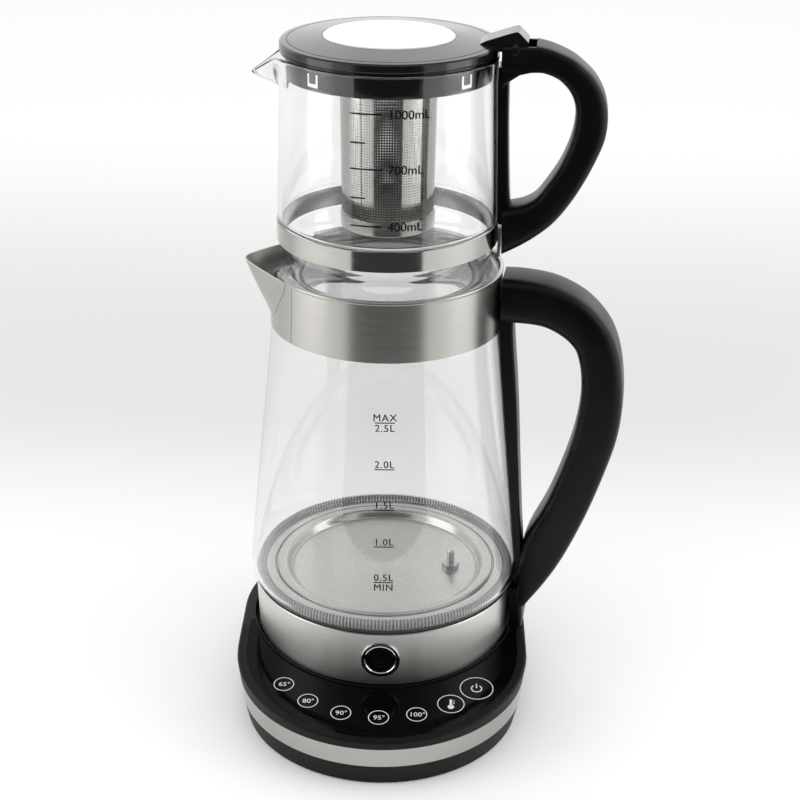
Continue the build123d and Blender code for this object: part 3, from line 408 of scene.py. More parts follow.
slotLooks = {
    "matte_black_plastic": matteBlack,
    "satin_black_plastic": satinBlack,
    "gloss_black_panel": panelBlack,
    "black_rubber": rubber,
    "bright_band": bandSteel,
    "brushed_steel": wallSteel,
    "spun_steel": floorSteel,
    "mesh_steel": etchedSteel,
    "spring_steel": zincSteel,
    "zinc_steel": zincSteel,
    "element_steel": dullSteel,
    "cast_aluminium": castAluminium,
    "chrome_trim": chrome,
    "circuit_board": board,
    "clear_glass": clearGlass,
    "clear_silicone": silicone,
}

# nodes that look unlike the rest of their slot; the skirt's paler steel is painted light
nodeLooks = {
    "lid_cap": lidBlack,
    "lid_disc": discSteel,
    "kettle_skirt": skirtSteelPaintedLight,
}


def dressNodes():
    slots = {s["node"]: s["material_slot"] for s in frame["record"]["subparts"]}
    for name, obj in nodes.items():
        look = nodeLooks.get(name) or slotLooks[slots[name]]
        obj.data.materials.clear()
        obj.data.materials.append(look)


def meshObject(name, bm, look, angle=35.0):
    data = bpy.data.meshes.new(name)
    bm.to_mesh(data)
    bm.free()
    data.materials.append(look)
    data.shade_smooth()
    data.set_sharp_from_angle(angle=math.radians(angle))
    return linked(name, data)


def closedMesh(name, bm, look, angle=35.0):
    bmesh.ops.recalc_face_normals(bm, faces=bm.faces)
    return meshObject(name, bm, look, angle)


def smoothLine(rows, per, softEnds=False):
    # Catmull-Rom through rows of any length; soft ends slow down towards the first and last row
    first, last = rows[0], rows[-1]
    if not softEnds:
        first = [2 * a - b for a, b in zip(rows[0], rows[1])]
        last = [2 * a - b for a, b in zip(rows[-1], rows[-2])]
    rows = [first, *rows, last]
    line = []
    for i in range(1, len(rows) - 2):
        for step in range(per):
            t = step / per
            line.append(tuple(0.5 * (2 * b + (c - a) * t + (2 * a - 5 * b + 4 * c - d) * t * t
                                     + (3 * b - a - 3 * c + d) * t ** 3)
                              for a, b, c, d in zip(*rows[i - 1:i + 3])))
    line.append(tuple(rows[-2]))
    return line


def radiusAt(line, z):
    for (r0, z0), (r1, z1) in zip(line, line[1:]):
        if z <= z1:
            return r0 + (r1 - r0) * min(max((z - z0) / (z1 - z0), 0.0), 1.0)
    return line[-1][0]


def addRings(bm, rings, around=True, ends=False):
    made = [[bm.verts.new(tuple(c * mm for c in p)) for p in ring] for ring in rings]
    count = len(made[0])
    pairs = list(zip(made, made[1:]))
    if around:
        pairs.append((made[-1], made[0]))
    for a, b in pairs:
        for k in range(count):
            n = (k + 1) % count
            bm.faces.new((a[k], a[n], b[n], b[k]))
    if ends:
        bm.faces.new(made[0])
        bm.faces.new(made[-1])


def lathe(name, profile, look, steps=192, warp=None, angle=35.0):
    bm = bmesh.new()
    rings = []
    for r, z in profile:
        if r < 1e-6:
            rings.append([bm.verts.new((0.0, 0.0, z * mm))])
            continue
        ring = []
        for k in range(steps):
            turn = 2 * math.pi * k / steps
            wide, high = warp(r, z, turn) if warp else (r, z)
            ring.append(bm.verts.new((*polar(wide * mm, turn), high * mm)))
        rings.append(ring)
    pairs = list(zip(rings, rings[1:]))
    if len(rings[0]) > 1:
        pairs.append((rings[-1], rings[0]))
    for low, high in pairs:
        if len(low) == 1 and len(high) == 1:
            continue
        for k in range(steps):
            n = (k + 1) % steps
            if len(low) == 1:
                bm.faces.new((low[0], high[n], high[k]))
            elif len(high) == 1:
                bm.faces.new((low[k], low[n], high[0]))
            else:
                bm.faces.new((low[k], low[n], high[n], high[k]))
    return closedMesh(name, bm, look, angle)


def finishPiece(obj, body, slot, *replaced):
    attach(obj, body)
    if replaced:
        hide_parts(*replaced)
    return obj


def apart(a, b):
    return abs((a - b + 180.0) % 360.0 - 180.0)


def innerLine(outer, wall):
    inner = []
    for i, (r, z) in enumerate(outer):
        a = Vector(outer[max(i - 1, 0)])
        b = Vector(outer[min(i + 1, len(outer) - 1)])
        d = (b - a).normalized()
        inner.append((r - d.y * wall, z + d.x * wall))
    return inner


def rolledRim(outer, wall, edge, crown, shoulder=0.8):
    r, z = outer[-1]
    return [(r - edge, z + shoulder), (r - wall / 2, z + crown), (r - wall + edge, z + shoulder)]


# kettle glass
kettleBody = {
    "wall": 2.6,
    "rim": (0.3, 1.0),
    "heelR": 80.9,
    "heelTop": 81.0,
    "outer": [(81.3, 75.7), (82.6, 76.3), (83.6, 78.4), (84.0, 81.2), (83.9, 85.0), (83.2, 91.5), (82.3, 100.0),
              (78.75, 136.0), (74.5, 178.0), (70.6, 216.0), (67.9, 242.3), (66.75, 245.2), (66.3, 250.0),
              (66.3, 263.0)],
}


def makeKettleGlass():
    outer = smoothLine(kettleBody["outer"], 3)
    wall, heel = kettleBody["wall"], kettleBody["heelR"]
    inner = [(max(r, heel) if z < kettleBody["heelTop"] else r, z) for r, z in innerLine(outer, wall)]
    inner[0] = (heel, outer[0][1])
    profile = outer + rolledRim(outer, wall, *kettleBody["rim"]) + inner[::-1]
    glass = lathe("kettleGlassWall", profile, clearGlass, 240, None, 50.0)
    finishPiece(glass, "kettle", "clear_glass", "kettle_glass")


# teapot glass
potBody = {
    "wall": 2.4,
    "outer": [(52.0, 270.0), (55.3, 270.7), (57.3, 273.2), (58.4, 278.0), (60.0, 285.0), (61.6, 289.6),
              (62.8, 293.4), (63.0, 296.0), (63.0, 304.5), (63.35, 307.0), (63.4, 311.0), (62.4, 344.0),
              (61.25, 376.0), (60.95, 388.0), (61.3, 400.4)],
    "lipTurn": 175.0,
    "lipReach": 16.3,
    "lipHalf": 6.4,
    "lipDrop": 13.5,
    "dropHalf": 7.5,
    "lipStart": 372.0,
    "lipFade": (30.0, 20.0),      # degrees off the lip where it starts to fade, and over how many
    "lipRise": (0.3, 0.66, 1.4),  # start and span of the outward pull, and how late it comes
    "rimZ": 401.5,
    "rim": (0.25, 1.1),
    "fineAbove": 370.0,
    "floorR": 30.0,
    "floor": (270.0, 272.6),
}


def lipWarp(r, z, turn):
    p = potBody
    start, rim = p["lipStart"], p["rimZ"]
    if z <= start:
        return r, z
    off = apart(math.degrees(turn), p["lipTurn"])
    bulge = p["lipReach"] / (1 + (off / p["lipHalf"]) ** 2)
    drop = p["lipDrop"] / (1 + (off / p["dropHalf"]) ** 2)
    fade = 1.0 - min(max((off - p["lipFade"][0]) / p["lipFade"][1], 0.0), 1.0)
    t = (z - start) / (rim - start)
    first, span, late = p["lipRise"]
    x = min(max((t - first) / span, 0.0), 1.0)
    share = (x * x * (3 - 2 * x)) ** late
    return r + bulge * fade * share, start + t * (rim - drop * fade - start)


def makeTeapotGlass():
    outer = smoothLine(potBody["outer"], 4)
    fine = []
    for (r, z), (r2, z2) in zip(outer, outer[1:]):
        parts = 4 if z > potBody["fineAbove"] else 1
        fine += [(r + (r2 - r) * k / parts, z + (z2 - z) * k / parts) for k in range(parts)]
    fine.append(outer[-1])
    wall, reach = potBody["wall"], potBody["floorR"]
    low, high = potBody["floor"]
    profile = [(0.0, low), (reach, low)] + fine + rolledRim(fine, wall, *potBody["rim"])
    profile += innerLine(fine, wall)[::-1] + [(reach, high), (0.0, high)]
    glass = lathe("teapotGlassWall", profile, clearGlass, 360, lipWarp, 50.0)
    finishPiece(glass, "teapot", "clear_glass", "teapot_glass")


# flat print laid on round or sloping faces
inkHalf = 0.02


def flatText(words, height, spacing=1.0, centred=True):
    curve = bpy.data.curves.new("words", "FONT")
    curve.body = words
    curve.size = height / 0.7      # the built-in face has capitals 0.7 of its size
    curve.space_character = spacing
    curve.align_x = "CENTER" if centred else "LEFT"
    curve.resolution_u = 3
    curve.extrude = inkHalf
    holder = linked("words", curve)
    flat = bakedMesh(holder)
    bpy.data.objects.remove(holder)
    points = [tuple(v.co) for v in flat.vertices]
    faces = [tuple(f.vertices) for f in flat.polygons]
    bpy.data.meshes.remove(flat)
    return points, faces


def sectionFaces(count, whole):
    # faces of a bar of four-cornered sections, with ends unless it closes on itself
    faces = []
    for k in range(count if whole else count - 1):
        a, b = 4 * k, 4 * ((k + 1) % count)
        faces += [(a + n, a + (n + 1) % 4, b + (n + 1) % 4, b + n) for n in range(4)]
    if not whole:
        last = 4 * count - 4
        faces += [(3, 2, 1, 0), (last, last + 1, last + 2, last + 3)]
    return faces


def flatBar(x0, x1, y0, y1, cells=10):
    points = []
    for k in range(cells + 1):
        x = x0 + (x1 - x0) * k / cells
        points += [(x, y0, -inkHalf), (x, y1, -inkHalf), (x, y1, inkHalf), (x, y0, inkHalf)]
    return points, sectionFaces(cells + 1, False)


def flatArc(radius, width, start=0.0, end=360.0, cells=72):
    points = []
    whole = abs(end - start) >= 360.0
    count = cells if whole else cells + 1
    inside = radius - width
    for k in range(count):
        turn = math.radians(start + (end - start) * k / cells)
        for r, z in ((inside, -inkHalf), (radius, -inkHalf), (radius, inkHalf), (inside, inkHalf)):
            points.append((*polar(r, turn), z))
    return points, sectionFaces(count, whole)


def moved(shape, x, y):
    points, faces = shape
    return [(px + x, py + y, pz) for px, py, pz in points], faces


def printPiece(name, shapes, lay, look):
    bm = bmesh.new()
    for points, faces in shapes:
        verts = [bm.verts.new(tuple(c * mm for c in lay(*p))) for p in points]
        for face in faces:
            if len(set(face)) == len(face):
                bm.faces.new([verts[i] for i in face])
    bmesh.ops.remove_doubles(bm, verts=bm.verts, dist=0.000002)
    return closedMesh(name, bm, look, 20.0)


def roundLay(profile, turn, lift=0.06):
    def lay(x, y, h):
        r = radiusAt(profile, y)
        return (*polar(r + lift + h, math.radians(turn) + x / r), y)
    return lay


kettleMarks = {
    "turn": -89.0,
    "lines": ((207.2, "MAX", "2.5L"), (179.1, "2.0L", ""), (154.2, "1.5L", ""), (131.3, "1.0L", ""),
              (108.7, "0.5L", "MIN")),      # height, words above and words below
    "lineHalf": 5.75,
    "lineThick": 0.62,
    "capHeight": 4.2,
    "strokes": (-0.07, 0.07),     # each word is laid twice, which thickens its upright strokes
    "gap": 0.7,
    "spacing": 1.12,
}


def makeKettleMarks():
    m = kettleMarks
    half, tall = m["lineThick"] / 2, m["capHeight"]
    shapes = []
    for z, upper, lower in m["lines"]:
        shapes.append(flatBar(-m["lineHalf"], m["lineHalf"], z - half, z + half))
        for shift in m["strokes"]:
            shapes.append(moved(flatText(upper, tall, m["spacing"]), shift, z + half + m["gap"]))
            if lower:
                shapes.append(moved(flatText(lower, tall, m["spacing"]), shift, z - half - m["gap"] - tall))
    lay = roundLay(smoothLine(kettleBody["outer"], 5), m["turn"])
    finishPiece(printPiece("kettleVolumeMarks", shapes, lay, darkInk), "kettle", "satin_black_plastic")


potMarks = {
    "turn": -86.6,
    "lines": ((381.5, "1000mL"), (366.0, ""), (351.8, "700mL"), (335.9, ""), (320.4, "400mL")),
    "lineStart": -22.6,
    "longEnd": -5.3,
    "shortEnd": -14.2,
    "lineThick": 0.85,
    "capHeight": 4.9,
    "wordStart": -2.2,
    "strokes": (-0.12, 0.0, 0.12),      # three times here
}


def makePotMarks():
    m = potMarks
    half, tall = m["lineThick"] / 2, m["capHeight"]
    shapes = []
    for z, words in m["lines"]:
        shapes.append(flatBar(m["lineStart"], m["longEnd"] if words else m["shortEnd"], z - half, z + half))
        for shift in m["strokes"] if words else ():
            shapes.append(moved(flatText(words, tall, 1.0, False), m["wordStart"] + shift, z - tall / 2))
    lay = roundLay(smoothLine(potBody["outer"], 4), m["turn"])
    finishPiece(printPiece("teapotVolumeMarks", shapes, lay, darkInk), "teapot", "satin_black_plastic")


panel = {
    "frontY": -131.6,
    "frontZ": 33.0,
    "drop": 0.9,
    "tilt": 5.0,
    "ringR": 73.9,
    "ringY": -36.2,
    "buttons": ((-51.7, 6.15, "65\u00b0"), (-35.1, 6.15, "80\u00b0"), (-17.6, 6.15, "90\u00b0"),
                (0.0, 6.15, "95\u00b0"), (17.6, 6.15, "100\u00b0"), (35.1, 8.1, "heat"), (51.7, 10.1, "power")),
    "line": 0.5,
    "capHeight": 3.6,
    "shift": 0.35,
    "lift": 0.04,
    "icons": {      # shape, its sizes and how far up it sits
        "power": ((flatArc, (3.4, 0.7, 125.0, 415.0, 40), -0.2), (flatBar, (-0.38, 0.38, 0.4, 4.3, 1), -0.2)),
        "heat": ((flatBar, (-0.75, 0.75, -1.6, 3.9, 1), 0.0), (flatArc, (1.9, 1.9, 0.0, 360.0, 28), -2.6),
                 (flatBar, (1.3, 2.3, 0.2, 0.6, 1), 0.0), (flatBar, (1.3, 2.3, 1.4, 1.8, 1), 0.0),
                 (flatBar, (1.3, 2.3, 2.6, 3.0, 1), 0.0)),
    },
}


def panelLay(x, y, h):
    z = panel["frontZ"] - panel["drop"] + (y - panel["frontY"]) * math.tan(math.radians(panel["tilt"]))
    return x, y, z + panel["lift"] + h


def makePanelPrint():
    p = panel
    shapes = []
    for angle, radius, sign in p["buttons"]:
        x = p["ringR"] * math.sin(math.radians(angle))
        y = p["ringY"] - p["ringR"] * math.cos(math.radians(angle))
        shapes.append(moved(flatArc(radius, p["line"]), x, y))
        for shape, sizes, rise in p["icons"].get(sign, ()):
            shapes.append(moved(shape(*sizes), x, y + rise))
        if sign not in p["icons"]:
            shapes.append(moved(flatText(sign, p["capHeight"]), x + p["shift"], y - p["capHeight"] / 2))
    finishPiece(printPiece("panelPrint", shapes, panelLay, whiteInk), "base", "bright_band")


# infuser
infuser = {
    "line": ((26.4, 302.3), (27.6, 398.9)),
    "sheet": 0.45,
    "flangeR": 53.2,
    "flangeThick": 0.6,
    "meshLow": 310.6,
    "meshHigh": 387.0,
    "turns": 112,
    "rows": 50,
    "hole": 0.52,
}


def makeMeshTree():
    # a flat grid of cells, each opened by a square hole, rolled into a slightly conical sleeve with thickness
    tree = bpy.data.node_groups.new("perforatedSleeve", "GeometryNodeTree")
    low, high = infuser["meshLow"], infuser["meshHigh"]
    wanted = {
        "Turns": ("NodeSocketInt", infuser["turns"]),
        "Rows": ("NodeSocketInt", infuser["rows"]),
        "Hole share": ("NodeSocketFloat", infuser["hole"]),
        "Low radius": ("NodeSocketFloat", radiusAt(infuser["line"], low) * mm),
        "High radius": ("NodeSocketFloat", radiusAt(infuser["line"], high) * mm),
        "Low height": ("NodeSocketFloat", low * mm),
        "High height": ("NodeSocketFloat", high * mm),
        "Sheet": ("NodeSocketFloat", infuser["sheet"] * mm),
    }
    values = {}
    for name, (kind, value) in wanted.items():
        socket = tree.interface.new_socket(name=name, in_out="INPUT", socket_type=kind)
        socket.default_value = value
        values[socket.identifier] = value
    tree.interface.new_socket(name="Geometry", in_out="OUTPUT", socket_type="NodeSocketGeometry")

    def calc(operation, *terms):
        return mathNode(tree, operation, *terms)

    def step(kind, values=None):
        return addNode(tree, kind, values).outputs[0]

    given = addNode(tree, "NodeGroupInput").outputs
    grid = step("GeometryNodeMeshGrid", {"Size X": 1.0, "Size Y": 1.0, "Vertices X": calc("ADD", given["Turns"], 1),
                                         "Vertices Y": calc("ADD", given["Rows"], 1)})
    cells = addNode(tree, "GeometryNodeExtrudeMesh", {"mode": "FACES", "Offset Scale": 0.0, "Individual": True,
                                                      "Mesh": grid}).outputs
    opened = step("GeometryNodeScaleElements", {"domain": "FACE", "Geometry": cells[0], "Selection": cells["Top"],
                                                "Scale": given["Hole share"]})
    sheet = step("GeometryNodeDeleteGeometry", {"domain": "FACE", "mode": "ONLY_FACE", "Geometry": opened,
                                                "Selection": cells["Top"]})
    across, along, _ = splitAxes(tree, step("GeometryNodeInputPosition"))
    turn = calc("MULTIPLY", calc("ADD", across, 0.5), 2 * math.pi)
    share = calc("ADD", along, 0.5)
    rise = calc("MULTIPLY", share, calc("SUBTRACT", given["High height"], given["Low height"]))
    level = calc("ADD", given["Low height"], rise)
    grow = calc("MULTIPLY", share, calc("SUBTRACT", given["High radius"], given["Low radius"]))
    outerR = calc("ADD", given["Low radius"], grow)
    skins = []
    for radius in (outerR, calc("SUBTRACT", outerR, given["Sheet"])):
        x, y = (calc("MULTIPLY", radius, calc(wave, turn)) for wave in ("COSINE", "SINE"))
        spot = step("ShaderNodeCombineXYZ", {0: x, 1: y, 2: level})
        skins.append(step("GeometryNodeSetPosition", {"Geometry": sheet, "Position": spot}))
    skins[1] = step("GeometryNodeFlipFaces", {0: skins[1]})
    joined = addNode(tree, "GeometryNodeJoinGeometry")
    for skin in skins:
        tree.links.new(skin, joined.inputs[0])
    merged = step("GeometryNodeMergeByDistance", {"Distance": 0.00002, "Geometry": joined.outputs[0]})
    real = step("GeometryNodeRealizeInstances", {0: merged})
    dressed = step("GeometryNodeSetMaterial", {"Material": etchedSteel, "Geometry": real})
    addNode(tree, "NodeGroupOutput", {0: dressed})
    return tree, values


def addHoleWalls(bm):
    # each outer hole corner is joined to the inner corner on the same ray
    edges = [e for e in bm.edges if len(e.link_faces) == 1]
    corners = {}
    for v in {v for e in edges for v in e.verts}:
        key = (round(math.atan2(v.co.y, v.co.x) * 4000), round(v.co.z * 40000))
        corners.setdefault(key, []).append(v)
    twin = {}
    for pair in corners.values():
        if len(pair) == 2:
            twin[pair[0]], twin[pair[1]] = pair[1], pair[0]
    for a, b in [e.verts for e in edges]:
        wall = (a, b, twin.get(b), twin.get(a))
        if None not in wall and not bm.faces.get(wall):
            bm.faces.new(wall)
    bmesh.ops.recalc_face_normals(bm, faces=bm.faces)


def makeInfuser():
    i = infuser
    tree, values = makeMeshTree()
    sleeve = linked("infuserSleeve", bpy.data.meshes.new("infuserSleeve"))
    modifier = sleeve.modifiers.new("shape", "NODES")
    modifier.node_group = tree
    for key, value in values.items():
        modifier[key] = value
    baked = bakedMesh(sleeve)
    sleeve.modifiers.remove(modifier)
    sleeve.data = baked
    baked.name = "infuserSleeve"
    bm = bmesh.new()
    bm.from_mesh(baked)
    addHoleWalls(bm)
    # plain sheet below and above the holes, and the flange that rests on the ring
    thick, steps = i["sheet"], i["turns"]
    (_, lowZ), (topR, topZ) = i["line"]
    for low, high in ((lowZ, i["meshLow"]), (i["meshHigh"], topZ)):
        addRings(bm, [circle(radiusAt(i["line"], z) - inset, z, steps)
                      for z, inset in ((low, 0.0), (high, 0.0), (high, thick), (low, thick))])
    topFace = topZ + i["flangeThick"]
    addRings(bm, [circle(r, z, steps) for r, z in ((topR - thick, topFace), (i["flangeR"], topFace),
                                                   (i["flangeR"], topZ), (topR - thick, topZ))])
    baked.clear_geometry()
    bm.to_mesh(baked)
    bm.free()
    baked.materials.clear()
    baked.materials.append(etchedSteel)
    baked.shade_smooth()
    baked.set_sharp_from_angle(angle=math.radians(30.0))
    finishPiece(sleeve, "teapot", "mesh_steel", "infuser_basket")
    print("infuser faces", len(baked.polygons))


# heating plate: turned dish with a raised ring, a step line and three stud bosses underneath
plate = {
    "top": [(0.0, 74.4), (20.0, 74.4), (40.0, 74.4), (54.0, 74.4), (56.6, 74.4), (57.5, 74.4), (58.2, 74.1),
            (58.8, 73.7), (59.5, 74.2), (60.5, 76.2), (61.6, 78.0), (62.7, 78.8), (64.6, 79.1), (66.6, 79.0),
            (67.8, 78.4), (68.1, 76.6), (68.7, 76.3), (69.2, 77.6), (70.0, 78.2), (74.2, 78.2), (74.7, 77.9)],
    "sheet": 0.8,
    "studR": 3.2,
    "studBore": 1.45,
    "studLow": 43.0,
    "studHigh": 73.0,
    "studRing": 64.0,
    "studTurns": (30.0, 150.0, 270.0),
}


def makePlate():
    p = plate
    top = smoothLine(p["top"], 2)
    under = [(r, z - p["sheet"]) for r, z in reversed(top)]
    dish = lathe("turnedHeatingPlate", top + under, floorSteel, 240)
    bm = bmesh.new()
    bm.from_mesh(dish.data)
    for turn in p["studTurns"]:
        middle = polar(p["studRing"], math.radians(turn))
        outer, bore, low, high = p["studR"], p["studBore"], p["studLow"], p["studHigh"]
        addRings(bm, [circle(r, z, 24, middle) for r, z in ((outer, low), (outer, high), (bore, high), (bore, low))])
    bmesh.ops.recalc_face_normals(bm, faces=bm.faces)
    bm.to_mesh(dish.data)
    bm.free()
    finishPiece(dish, "kettle", "spun_steel", "heating_plate")


# round window on the skirt: a black ring, painted shade of the groove, between a bright outer edge and an inner chrome
# ring, facing forwards
window = {
    "z": 54.9,
    "edge": [(11.45, 79.6), (11.8, 79.6), (11.8, 81.5), (11.66, 81.75), (11.45, 81.8)],
    "ring": [(9.9, 79.0), (11.45, 79.0), (11.45, 81.7), (11.2, 81.95), (10.3, 82.0), (9.9, 81.75)],
    "inner": [(8.9, 79.0), (9.9, 79.0), (9.9, 81.65), (9.75, 81.95), (9.35, 82.0), (9.0, 81.6)],
    "seat": [(8.5, 78.0), (9.0, 78.0), (9.0, 81.2), (8.5, 81.0)],
}


def turnForward(obj):
    # the lathe's upward axis becomes the window's axis towards the front
    obj.data.transform(Matrix.Translation((0.0, 0.0, window["z"] * mm)) @ Matrix.Rotation(math.pi / 2, 4, "X"))
    obj.data.update()
    return obj


def makeWindow():
    for name, line, look, slot, replaced in (
            # the gloss black ring is painted shade of the groove round the inner ring
            ("windowRing", "ring", glossBlack, "chrome_trim", ["indicator_bezel"]),
            ("windowOuterEdge", "edge", chrome, "chrome_trim", []),
            ("windowInnerRing", "inner", chrome, "chrome_trim", []),
            ("windowSeat", "seat", glossBlack, "satin_black_plastic", [])):
        finishPiece(turnForward(lathe(name, window[line], look, 96)), "kettle", slot, *replaced)


# fine seams: the lid's step line, the gasket line under the glass, the sleeve's lap and the collar's weld
seams = {
    "lidLine": [(56.2, 408.1), (56.75, 408.06), (56.75, 408.2), (56.2, 408.25)],
    "gasket": [(80.9, 73.0), (81.7, 73.0), (81.7, 73.45), (80.9, 73.45)],
    "half": 0.22,
    "sleeve": (302.7, 388.6),
    "sleeveTurn": -122.0,
    "weld": (243.4, 276.6),
    "weldTurn": -141.0,
    "weldLine": ((68.7, 242.5), (67.5, 278.6)),
}


def makeSeams():
    finishPiece(lathe("lidStepLine", seams["lidLine"], satinBlack), "lid", "satin_black_plastic")
    finishPiece(lathe("gasketLine", seams["gasket"], rubber, 240), "kettle", "black_rubber")
    lap = roundLay(infuser["line"], seams["sleeveTurn"])
    weld = roundLay(seams["weldLine"], seams["weldTurn"], 0.03)
    for name, span, lay, body, slot in (("sleeveLap", "sleeve", lap, "teapot", "mesh_steel"),
                                        ("collarWeld", "weld", weld, "kettle", "brushed_steel")):
        bar = flatBar(-seams["half"], seams["half"], *seams[span], 2)
        finishPiece(printPiece(name, [bar], lay, dullSteel), body, slot)


# clear gasket between the plate and the glass, with fine upright ribs all round
gasket = {
    "profile": [(75.1, 75.7), (79.6, 75.7), (80.2, 77.0), (80.3, 79.6), (80.0, 81.2), (79.4, 81.8), (78.4, 81.8),
                (77.7, 81.2), (77.2, 79.6), (75.3, 78.6)],
    "middle": 77.5,
    "depth": 0.9,
    "rise": 0.6,        # share of the depth by which the crown dips too
    "lowest": 76.4,
}


def gasketRibs(r, z, turn):
    if z < gasket["lowest"]:
        return r, z
    way = 1.0 if r > gasket["middle"] else -1.0
    dip = gasket["depth"] * (math.cos(gasketRibCount * turn) - 1.0)
    return r + way * dip / 2, z + gasket["rise"] * dip


def makeGasket():
    ring = lathe("ribbedGasket", gasket["profile"], gasketClear, 4 * gasketRibCount, gasketRibs, 60.0)
    finishPiece(ring, "kettle", "clear_silicone", "glass_seal")


# steel collar and spout in one skin: a cone whose front opens into a pulled V with a sharp seam down each side
collar = {
    "turn": 174.5,
    "levels": [(242.5, 5.0, 0.0), (244.6, 6.0, 0.0), (247.0, 13.5, 1.5), (249.7, 21.0, 3.3), (254.5, 26.6, 6.1),
               (259.9, 30.6, 9.0), (268.3, 35.8, 13.3), (274.0, 38.0, 16.0), (276.4, 38.8, 17.0)],
    "low": (68.7, 242.5),
    "top": (67.6, 276.8),
    "tipBlunt": 6.0,
    "bluntReach": 8.0,
    "sheet": 0.8,
    "spoutCells": 48,
    "wallCells": 192,
    "rollR": 1.25,
    "rollZ": 277.3,
    "rollInset": 0.5,
    "rollGap": 0.6,
    "rollCells": (144, 14),
    "seamHalf": 0.17,
    "seamSpan": (-0.2, 0.07),
    "seamFrom": 6,
}


def collarRadius(z):
    (r0, z0), (r1, z1) = collar["low"], collar["top"]
    return r0 + (r1 - r0) * (z - z0) / (z1 - z0)


def collarRing(z, half, reach, inset):
    base = collarRadius(z) - inset
    seam = math.radians(half)
    seamX, seamY = polar(base, seam)
    tipX = base + reach
    blunt = collar["tipBlunt"] * min(reach / collar["bluntReach"], 1.0) + 0.01
    slope = math.sqrt(max((tipX - seamX + blunt) ** 2 - blunt ** 2, 1e-9)) / seamY
    ring = []
    for k in range(collar["spoutCells"]):
        y = seamY * (1 - 2 * k / collar["spoutCells"])
        if reach > 0:
            x = tipX - (math.sqrt((slope * y) ** 2 + blunt ** 2) - blunt)
        else:
            x = math.sqrt(base ** 2 - y ** 2)
        ring.append((x, y, z))
    for k in range(collar["wallCells"]):
        turn = -seam - (2 * math.pi - 2 * seam) * k / collar["wallCells"]
        ring.append((*polar(base, turn), z))
    return ring


def makeCollar():
    c = collar
    levels = smoothLine(c["levels"], 4, True)
    bm = bmesh.new()
    outer = [collarRing(z, half, max(reach, 0.0), 0.0) for z, half, reach in levels]
    inner = [collarRing(z, half, max(reach, 0.0), c["sheet"]) for z, half, reach in reversed(levels)]
    addRings(bm, turnedRings(outer + inner, c["turn"]))
    # rolled rim, which stops at the spout's two corners
    seam = levels[-1][1] + c["rollGap"]
    middle = collarRadius(c["rollZ"]) - c["rollInset"]
    cells, sides = c["rollCells"]
    rings = []
    for k in range(cells + 1):
        turn = math.radians(c["turn"] + seam + (360.0 - 2 * seam) * k / cells)
        section = (polar(c["rollR"], 2 * math.pi * n / sides) for n in range(sides))
        rings.append([(*polar(middle + out, turn), c["rollZ"] + up) for out, up in section])
    addRings(bm, rings, False, True)
    skin = closedMesh("collarAndSpout", bm, wallSteel, 28.0)
    finishPiece(skin, "kettle", "brushed_steel", "kettle_collar", "kettle_spout")


def makeSpoutCreaseShade():
    # fine dark strip down each side, where the pulled spout meets the collar: painted shade of the crease there
    bm = bmesh.new()
    half, (low, high) = collar["seamHalf"], collar["seamSpan"]
    for side in (1, -1):
        rings = []
        for z, opening, _ in smoothLine(collar["levels"], 4, True)[collar["seamFrom"]:]:
            ring = []
            for lift, slip in ((low, -half), (low, half), (high, half), (high, -half)):
                r = collarRadius(z) + lift
                ring.append((*polar(r, math.radians(collar["turn"] + side * opening) + slip / r), z))
            rings.append(ring)
        addRings(bm, rings, False, True)
    finishPiece(closedMesh("spoutSeam", bm, dullSteel), "kettle", "brushed_steel")


# handles: rounded sections swept between an outer and an inner line, with a spine against the wall
kettleGrip = {
    "turn": -8.0,
    "half": 16.0,
    "round": 5.0,
    "squareStart": 5.0,
    "outer": [(68.9, 275.8), (80.0, 275.8), (95.7, 273.9), (108.2, 269.4), (118.6, 263.1), (127.7, 254.2),
              (134.8, 243.0), (140.0, 226.0), (142.4, 203.0), (140.6, 179.0), (134.5, 154.7), (125.2, 125.6),
              (113.7, 97.1), (103.4, 77.8), (91.0, 60.0)],
    "inner": [(68.9, 249.6), (77.4, 249.0), (88.0, 248.6), (96.0, 247.0), (104.6, 242.6), (110.4, 237.6),
              (113.8, 232.0), (116.6, 220.0), (117.2, 204.0), (114.4, 180.0), (107.8, 153.8), (99.6, 130.0),
              (90.0, 108.4), (86.4, 92.0), (84.6, 64.0)],
    "spineHalf": 8.75,
    "spineOuter": [(76.4, 252.0), (76.2, 240.0), (79.8, 200.8), (82.4, 162.0), (84.9, 124.6), (87.2, 96.0),
                   (89.0, 66.0)],
    "shoeHalf": 14.0,
    "shoeOuter": [(88.2, 43.8), (89.9, 45.2), (90.3, 48.0), (90.0, 56.0), (89.2, 66.0), (88.6, 72.0)],
    "wall": [(82.9, 43.0), (81.9, 75.0), (82.0, 75.6), (84.2, 78.0), (84.4, 81.2), (84.3, 85.0), (82.7, 100.0),
             (79.2, 136.0), (74.9, 178.0), (71.0, 216.0), (68.9, 240.0), (69.0, 242.4), (68.0, 278.0)],
}

